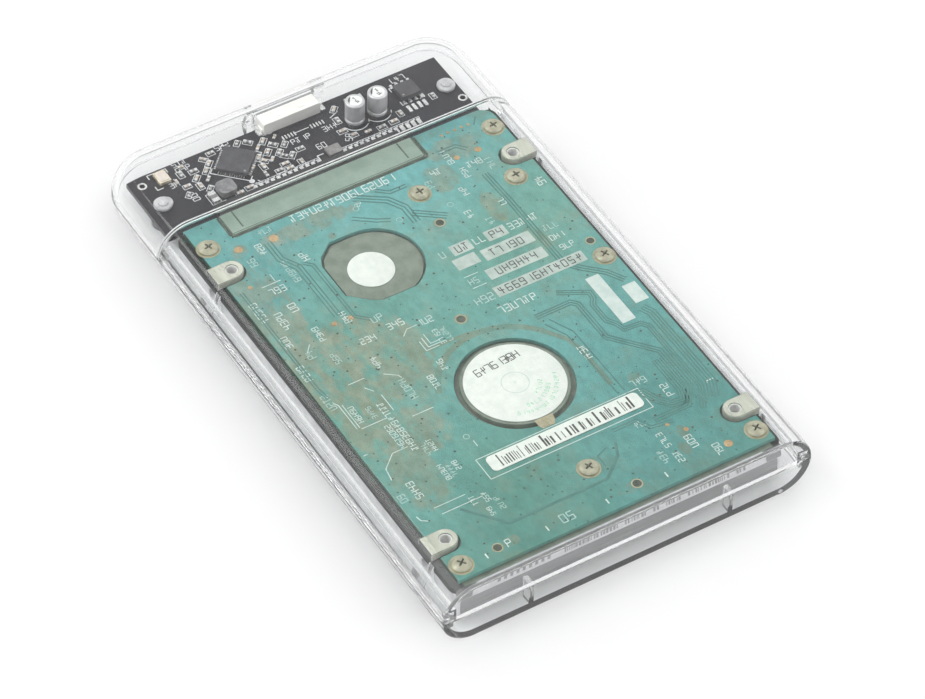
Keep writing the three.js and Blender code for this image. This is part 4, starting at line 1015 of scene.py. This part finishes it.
def chip_part(x, y, angle, length, wide, tall, outlined=True, tan=True):
    """A two-ended chip component with its tinned ends and printed outline."""
    core = rounded(-length * 0.3, length * 0.3, -wide / 2, wide / 2, 0.05, 1)
    (tan_bodies if tan else bodies).prism(turned(core, angle, x, y), ADAPTER_TOP + 0.03, ADAPTER_TOP + tall)
    for side in (-1, 1):
        end = rounded(-length * 0.2, length * 0.2, -wide * 0.52, wide * 0.52, 0.06, 1)
        moved = [(px + side * length * 0.4, py) for px, py in end]
        ends.prism(turned(moved, angle, x, y), ADAPTER_TOP + 0.02, ADAPTER_TOP + tall * 1.02)
    if outlined:
        a, b = length * 0.5 + 0.34, wide * 0.5 + 0.3
        outline_print(turned([(-a, -b), (a, -b), (a, b), (-a, b)], angle, x, y), 0.13, closed=True)


LARGE_PARTS = [
    (-21.8, 56.6, 0), (-19.6, 55.4, 45), (-22.2, 54.6, 45), (-20.4, 53.2, 45), (-22.6, 52.4, 90), (-18.2, 56.9, 45),
    (-8.9, 58.2, 135), (-6.2, 57, 45), (-8, 55.8, 45), (-5, 55.2, 135), (-6.9, 53.9, 45), (-9.1, 53.4, 45),
    (-5, 52.7, 45), (-7.2, 51.6, 45), (-9.6, 50.9, 90), (-3.2, 50.8, 45), (-5.6, 49.4, 0), (-5.4, 47.9, 0),
    (-10.2, 48.7, 90), (-14.6, 47.3, 0), (-17, 46.9, 0), (9, 54.6, 90), (8.4, 51.6, 0), (12.6, 48.9, 0),
    (15.6, 48.7, 0), (18.4, 48.9, 0), (10, 57.6, 45), (-24.4, 57, 90),
]
SMALL_PARTS = [
    (-18.6, 58.4, 135), (-16.6, 59.2, 0), (-23.4, 58.8, 0), (-21.2, 50.9, 45), (-24.8, 53.6, 0), (-10.8, 59, 45),
    (-3.8, 56.8, 45), (-3, 54.2, 45), (-8.6, 52.2, 135), (-4.6, 51.4, 135), (-11.4, 51.6, 45), (-7.4, 48.4, 0),
    (-2.6, 48.4, 90), (-1, 51.6, 0), (-26, 55.6, 90), (-25.6, 51.4, 45), (20.6, 50.2, 90), (20.4, 56.8, 90),
    (13.4, 58.6, 0), (15.8, 58.4, 0), (9.8, 49.6, 0), (28.6, 51.2, 90),
]
for i, place in enumerate(LARGE_PARTS):
    chip_part(*place, 1.2, 0.62, 0.45, i % 5 != 3, i % 3 != 0)
for i, place in enumerate(SMALL_PARTS):
    chip_part(*place, 1, 0.55, 0.4, i % 4 != 2, i % 2 == 0)
chip_part(-22, 48.2, 90, 2.4, 1.4, 0.7, tan=False)
for x, y, angle, count in ((-24.2, 49.4, 90, 2), (-1.6, 53.2, 0, 4), (5.4, 53.2, 0, 3), (2, 49.6, 0, 2),
                           (-15.2, 59.2, 0, 3), (-27.6, 54.6, 0, 2), (23.6, 58.2, 0, 3), (-12.6, 46.6, 30, 2),
                           (8.8, 48.4, 60, 2), (-3.6, 58.2, 90, 3), (-24.6, 59.4, 0, 3), (-24.6, 57.6, 0, 3)):
    marks(adapter_silk, x, y, angle, count, 1.35, print_low)
for a, b in ((1, 1), (-1, 1), (1, -1), (-1, -1)):
    outline_print(turned([(a * 4, b * 2.6), (a * 4, b * 4), (a * 2.6, b * 4)], *BRIDGE), 0.2)
outline_print(turned([(-4, -2.6), (-4, 2.6)], *BRIDGE), 0.16)
adapter_silk.disc(-13.4, 48.6, 0.55, 16, print_low, ADAPTER_TOP + 0.04)
for x0, x1, y0, y1 in ((-29.9, -26.1, 55.6, 60), (-21.2, -16.6, 46.7, 51.1), (22.2, 27.2, 51.9, 57.2)):
    for x, y, dx, dy in ((x0, y0, 1.1, 1.1), (x1, y0, -1.1, 1.1), (x0, y1, 1.1, -1.1), (x1, y1, -1.1, -1.1)):
        outline_print([(x + dx, y), (x, y), (x, y + dy)], 0.18)
outline_print([(0.8, 46), (0.8, 48.2), (2.2, 48.2)], 0.22)
outline_print([(0, 55.9), (3.4, 55.9)], 0.16)
outline_print([(8.2, 56), (10.4, 56.9)], 0.2)
for x, y in CANS.values():
    adapter_silk.ribbon(arc(x, y, 2.75, 200, 340, 16), 0.22, print_low, ADAPTER_TOP + 0.04)
piece("chip_ends", ends, SOLDER, bevel=0.03, slot="bright_steel")
piece("chip_bodies_dark", bodies, GREY_CERAMIC, bevel=0.03, slot="chip_plastic")
piece("chip_bodies_tan", tan_bodies, CERAMIC, bevel=0.03, slot="chip_plastic")


def solder_row(xs, y0, y1, width, r, n, height):
    """Solder joints of one size side by side, each starting at a place in xs."""
    for x in xs:
        solder.slab(x, x + width, y0, y1, r, n, print_low, ADAPTER_TOP + height)


# Each contact of the SATA socket has a foot on its pad and a printed tick behind it.
for x in [-13.65 + 1.27 * i for i in range(12)] + [6.15 + 1.27 * i for i in range(14)]:
    solder_row([x - 0.4], 45.7, 47.3, 0.8, 0.2, 2, 0.2)
    tick = [(x - 0.55, 47.2), (x - 0.55, 47.7), (x + 0.55, 47.7), (x + 0.55, 47.2)]
    adapter_silk.ribbon(tick, 0.13, print_low, ADAPTER_TOP + 0.03)
for x0 in (-2.6, 3.7):
    solder_row([x0 + 0.65 * i for i in range(5)], 55.2, 56.3, 0.3, 0.08, 2, 0.15)
for i in range(4):
    solder_row([22.5 + 1.27 * i], 56.6, 57.8, 0.6, 0.1, 2, 0.3)
    solder_row([22.4 + 1.2 * i], 49.4, 51.2, 0.7, 0.15, 2, 0.25)
    solder_row([22.5 + 1.27 * i], 51.7, 52.7, 0.6, 0.1, 2, 0.3)
angle, x, y = BRIDGE
for side in range(4):
    for i in range(12):
        pin = rounded(-2.65 + 0.46 * i, -2.42 + 0.46 * i, 3.15, 3.75, 0.04, 1)
        solder.prism(turned(pin, angle + 90 * side, x, y), print_low, ADAPTER_TOP + 0.14)
for x, y in ((-32, 58), (33.4, 47.9)):
    solder.ring(x, y, 0.56, 0.95, ADAPTER_TOP + 0.005, ADAPTER_TOP + 0.03, 24)
solder_row([PORT_X - 7.5, PORT_X + 6.5], 58.4, 60.2, 1, 0.3, 3, 0.35)
piece("adapter_solder", solder, SOLDER, bevel=0.03, slot="bright_steel")
piece("adapter_silk", adapter_silk, BRIGHT_SILK, slot="paper")

CAN_PROFILE = [(0, 6.42), (1.9, 6.42), (1.97, 6.5), (1.97, 6.85), (1.9, 6.98), (1.74, 7.12), (1.74, 7.2), (1.9, 7.34),
               (1.97, 7.48), (1.97, 11.1), (1.9, 11.28), (1.74, 11.38), (1.5, 11.4), (1.45, 11.36), (0, 11.36)]
CAN_FOOT = [(-2.05, -1.4), (-1.4, -2.05), (2.05, -2.05), (2.05, 2.05), (-1.4, 2.05), (-2.05, 1.4)]
for side, (x, y) in CANS.items():
    can = Shapes().lathe(CAN_PROFILE, x, y, 56)
    piece(f"can_{side}", can, CAN, stands_for=[f"capacitor_{side}"], slot="sheet_aluminium", sharp=40)
    foot = Shapes().prism(turned(CAN_FOOT, 0, x, y), 6.05, 6.42)
    piece(f"can_foot_{side}", foot, BLACK_PLASTIC, bevel=0.08, slot="black_plastic")
    cap = Shapes().lathe([(0, 11.362), (1.42, 11.362), (1.42, 11.38), (0, 11.385)], x, y, 40)
    piece(f"can_cap_{side}", cap, CAN_TOP, slot="sheet_aluminium")
    stamp = Shapes().prism(arc(x, y, 1.36, 100, 190, 12), 11.387, 11.397)
    marks(stamp, x - 0.1, y - 0.9, 20, 2, 0.7, 11.387, 0.14, 0.5)
    marks(stamp, x + 0.1, y + 0.1, 20, 1, 0.7, 11.387, 0.14, 0.5)
    piece(f"can_stamp_{side}", stamp, INK, slot="black_plastic")

# Chips keep their CAD place and size (width, depth, height, x, y, angle), with a bevelled body.
CHIPS = {
    "bridge_chip": (6.4, 6.4, 0.9, -13.6, 54.5, 45, CHIP),
    "power_inductor": (3.6, 3.6, 1.35, -18.9, 48.9, 0, INDUCTOR),
    "regulator_chip": (4.2, 3.9, 1.2, 24.7, 54.6, 0, CHIP),
    "crystal": (2.5, 3.2, 0.8, -28, 57.8, 0, CRYSTAL),
    "status_led": (3, 2.4, 0.7, 4.2, 47.7, 0, GREY_CERAMIC),
}
for name, (w, d, tall, x, y, angle, look) in CHIPS.items():
    wound = name == "power_inductor"
    low, high = ADAPTER_TOP + 0.05, ADAPTER_TOP + 0.05 + tall
    box = rounded(-w / 2, w / 2, -d / 2, d / 2, 1 if wound else 0.15, 3)
    shapes = Shapes().prism(turned(box, angle, x, y), low, high)
    for k in range(5 if wound else 0):
        rib = rounded(-1.5, 1.5, -1.4 + 0.62 * k, -1.1 + 0.62 * k, 0.1, 2)
        shapes.prism(turned(rib, 0, x, y), high, high + 0.07)
    piece(f"{name}_body", shapes, look, stands_for=[name], bevel=0.1)
crystal_lid = Shapes().slab(-28.95, -27.05, 56.5, 59.1, 0.3, 4, 6.86, 6.93)
piece("crystal_lid", crystal_lid, CRYSTAL_LID, bevel=0.04, slot="crystal_can")
dots = Shapes().disc(*turned([(-2.5, -2.5)], *BRIDGE)[0], 0.28, 16, 6.955, 6.965)
dots.disc(23.2, 53.3, 0.25, 16, 7.255, 7.265)
piece("chip_dots", dots, GREY_CERAMIC, slot="chip_plastic")

# USB socket: folded seam, sprung windows and contact tongues on the CAD shell.
shell_bits, usb_pins = Shapes(), Shapes()
for x in (PORT_X - 2.6, PORT_X + 2.6):
    shell_bits.slab(x - 0.8, x + 0.8, 59.3, 61.6, 0.2, 3, 8.52, 8.6)
    shell_bits.slab(x - 0.45, x + 0.45, 59.5, 61.1, 0.15, 3, 8.6, 8.66)
for x in (PORT_X - 6.35, PORT_X + 6.35):
    shell_bits.slab(x - 0.25, x + 0.25, 59, 60.6, 0.1, 2, 5.6, 6.9)
# The shell bits wear it too: painted glare on the metal.
piece("usb_shell_bits", shell_bits, SOCKET_GLARE, bevel=0.04, slot="bright_steel")
for first, pitch, width in ((PORT_X - 4.6, 1.15, 0.4), (PORT_X + 2.2, 0.6, 0.3)):
    for i in range(5):
        x = first + pitch * i
        usb_pins.slab(x, x + width, 60.4, 62.2, 0.05, 1, 7.255, 7.29)
piece("usb_pins", usb_pins, COPPER_PAD, slot="bright_steel")

# ---------------------------------------------------------------- floor, light and camera

floor_shape = Shapes().slab(-1500, 1500, -1500, 1500, 200, 8, -6.2, -0.2)
floor = object_of("floor", floor_shape)
floor_look = surface("pale_floor", (0.92, 0.92, 0.92), (0.94, 0.94, 0.94), 3, (0.6, 0.7), (60, 0.02))
floor.data.materials.append(floor_look)

world = bpy.data.worlds.new("studio")
scene.world = world
world.use_nodes = True
sky = world.node_tree
height = node(sky, "SeparateXYZ", {"Vector": node(sky, "TexCoord", {}).outputs["Generated"]}).outputs["Z"]
glow = ramp(sky, height, [(0, (0.3, 0.3, 0.31)), (0.05, (0.46, 0.46, 0.47)), (0.12, (0.8, 0.8, 0.81)),
                          (0.3, (0.97, 0.97, 0.98)), (0.8, (1, 1, 1))])
wire(sky, sky.nodes["Background"], {"Color": glow, "Strength": 0.93})


def softbox(name, place, size, power):
    """A rectangular lamp aimed at the object."""
    light = bpy.data.lights.new(name, "AREA")
    light.shape = "RECTANGLE"
    light.size, light.size_y = size
    light.energy = power
    lamp = bpy.data.objects.new(name, light)
    lamp.location = place
    lamp.rotation_euler = (-Vector(place)).to_track_quat("-Z", "Y").to_euler()
    scene.collection.objects.link(lamp)


softbox("key", (-0.45, 0.35, 0.75), (0.5, 0.5), 2)
softbox("fill", (0.7, -0.5, 0.6), (0.6, 0.4), 0.9)

CAMERA_PLACE = (-0.33097, -0.52214, 0.66139)
AZIMUTH, ELEVATION, ROLL = -32.709, 47.055, 1.709
camera_data = bpy.data.cameras.new("camera")
camera_data.lens = 187.8
camera_data.sensor_width = 36
camera = bpy.data.objects.new("camera", camera_data)
aim = Matrix.Translation(CAMERA_PLACE)
for angle, axis in ((AZIMUTH, "Z"), (90 - ELEVATION, "X"), (ROLL, "Z")):
    aim = aim @ Matrix.Rotation(math.radians(angle), 4, axis)
camera.matrix_world = aim
scene.collection.objects.link(camera)
scene.camera = camera
scene.view_settings.view_transform = "Standard"
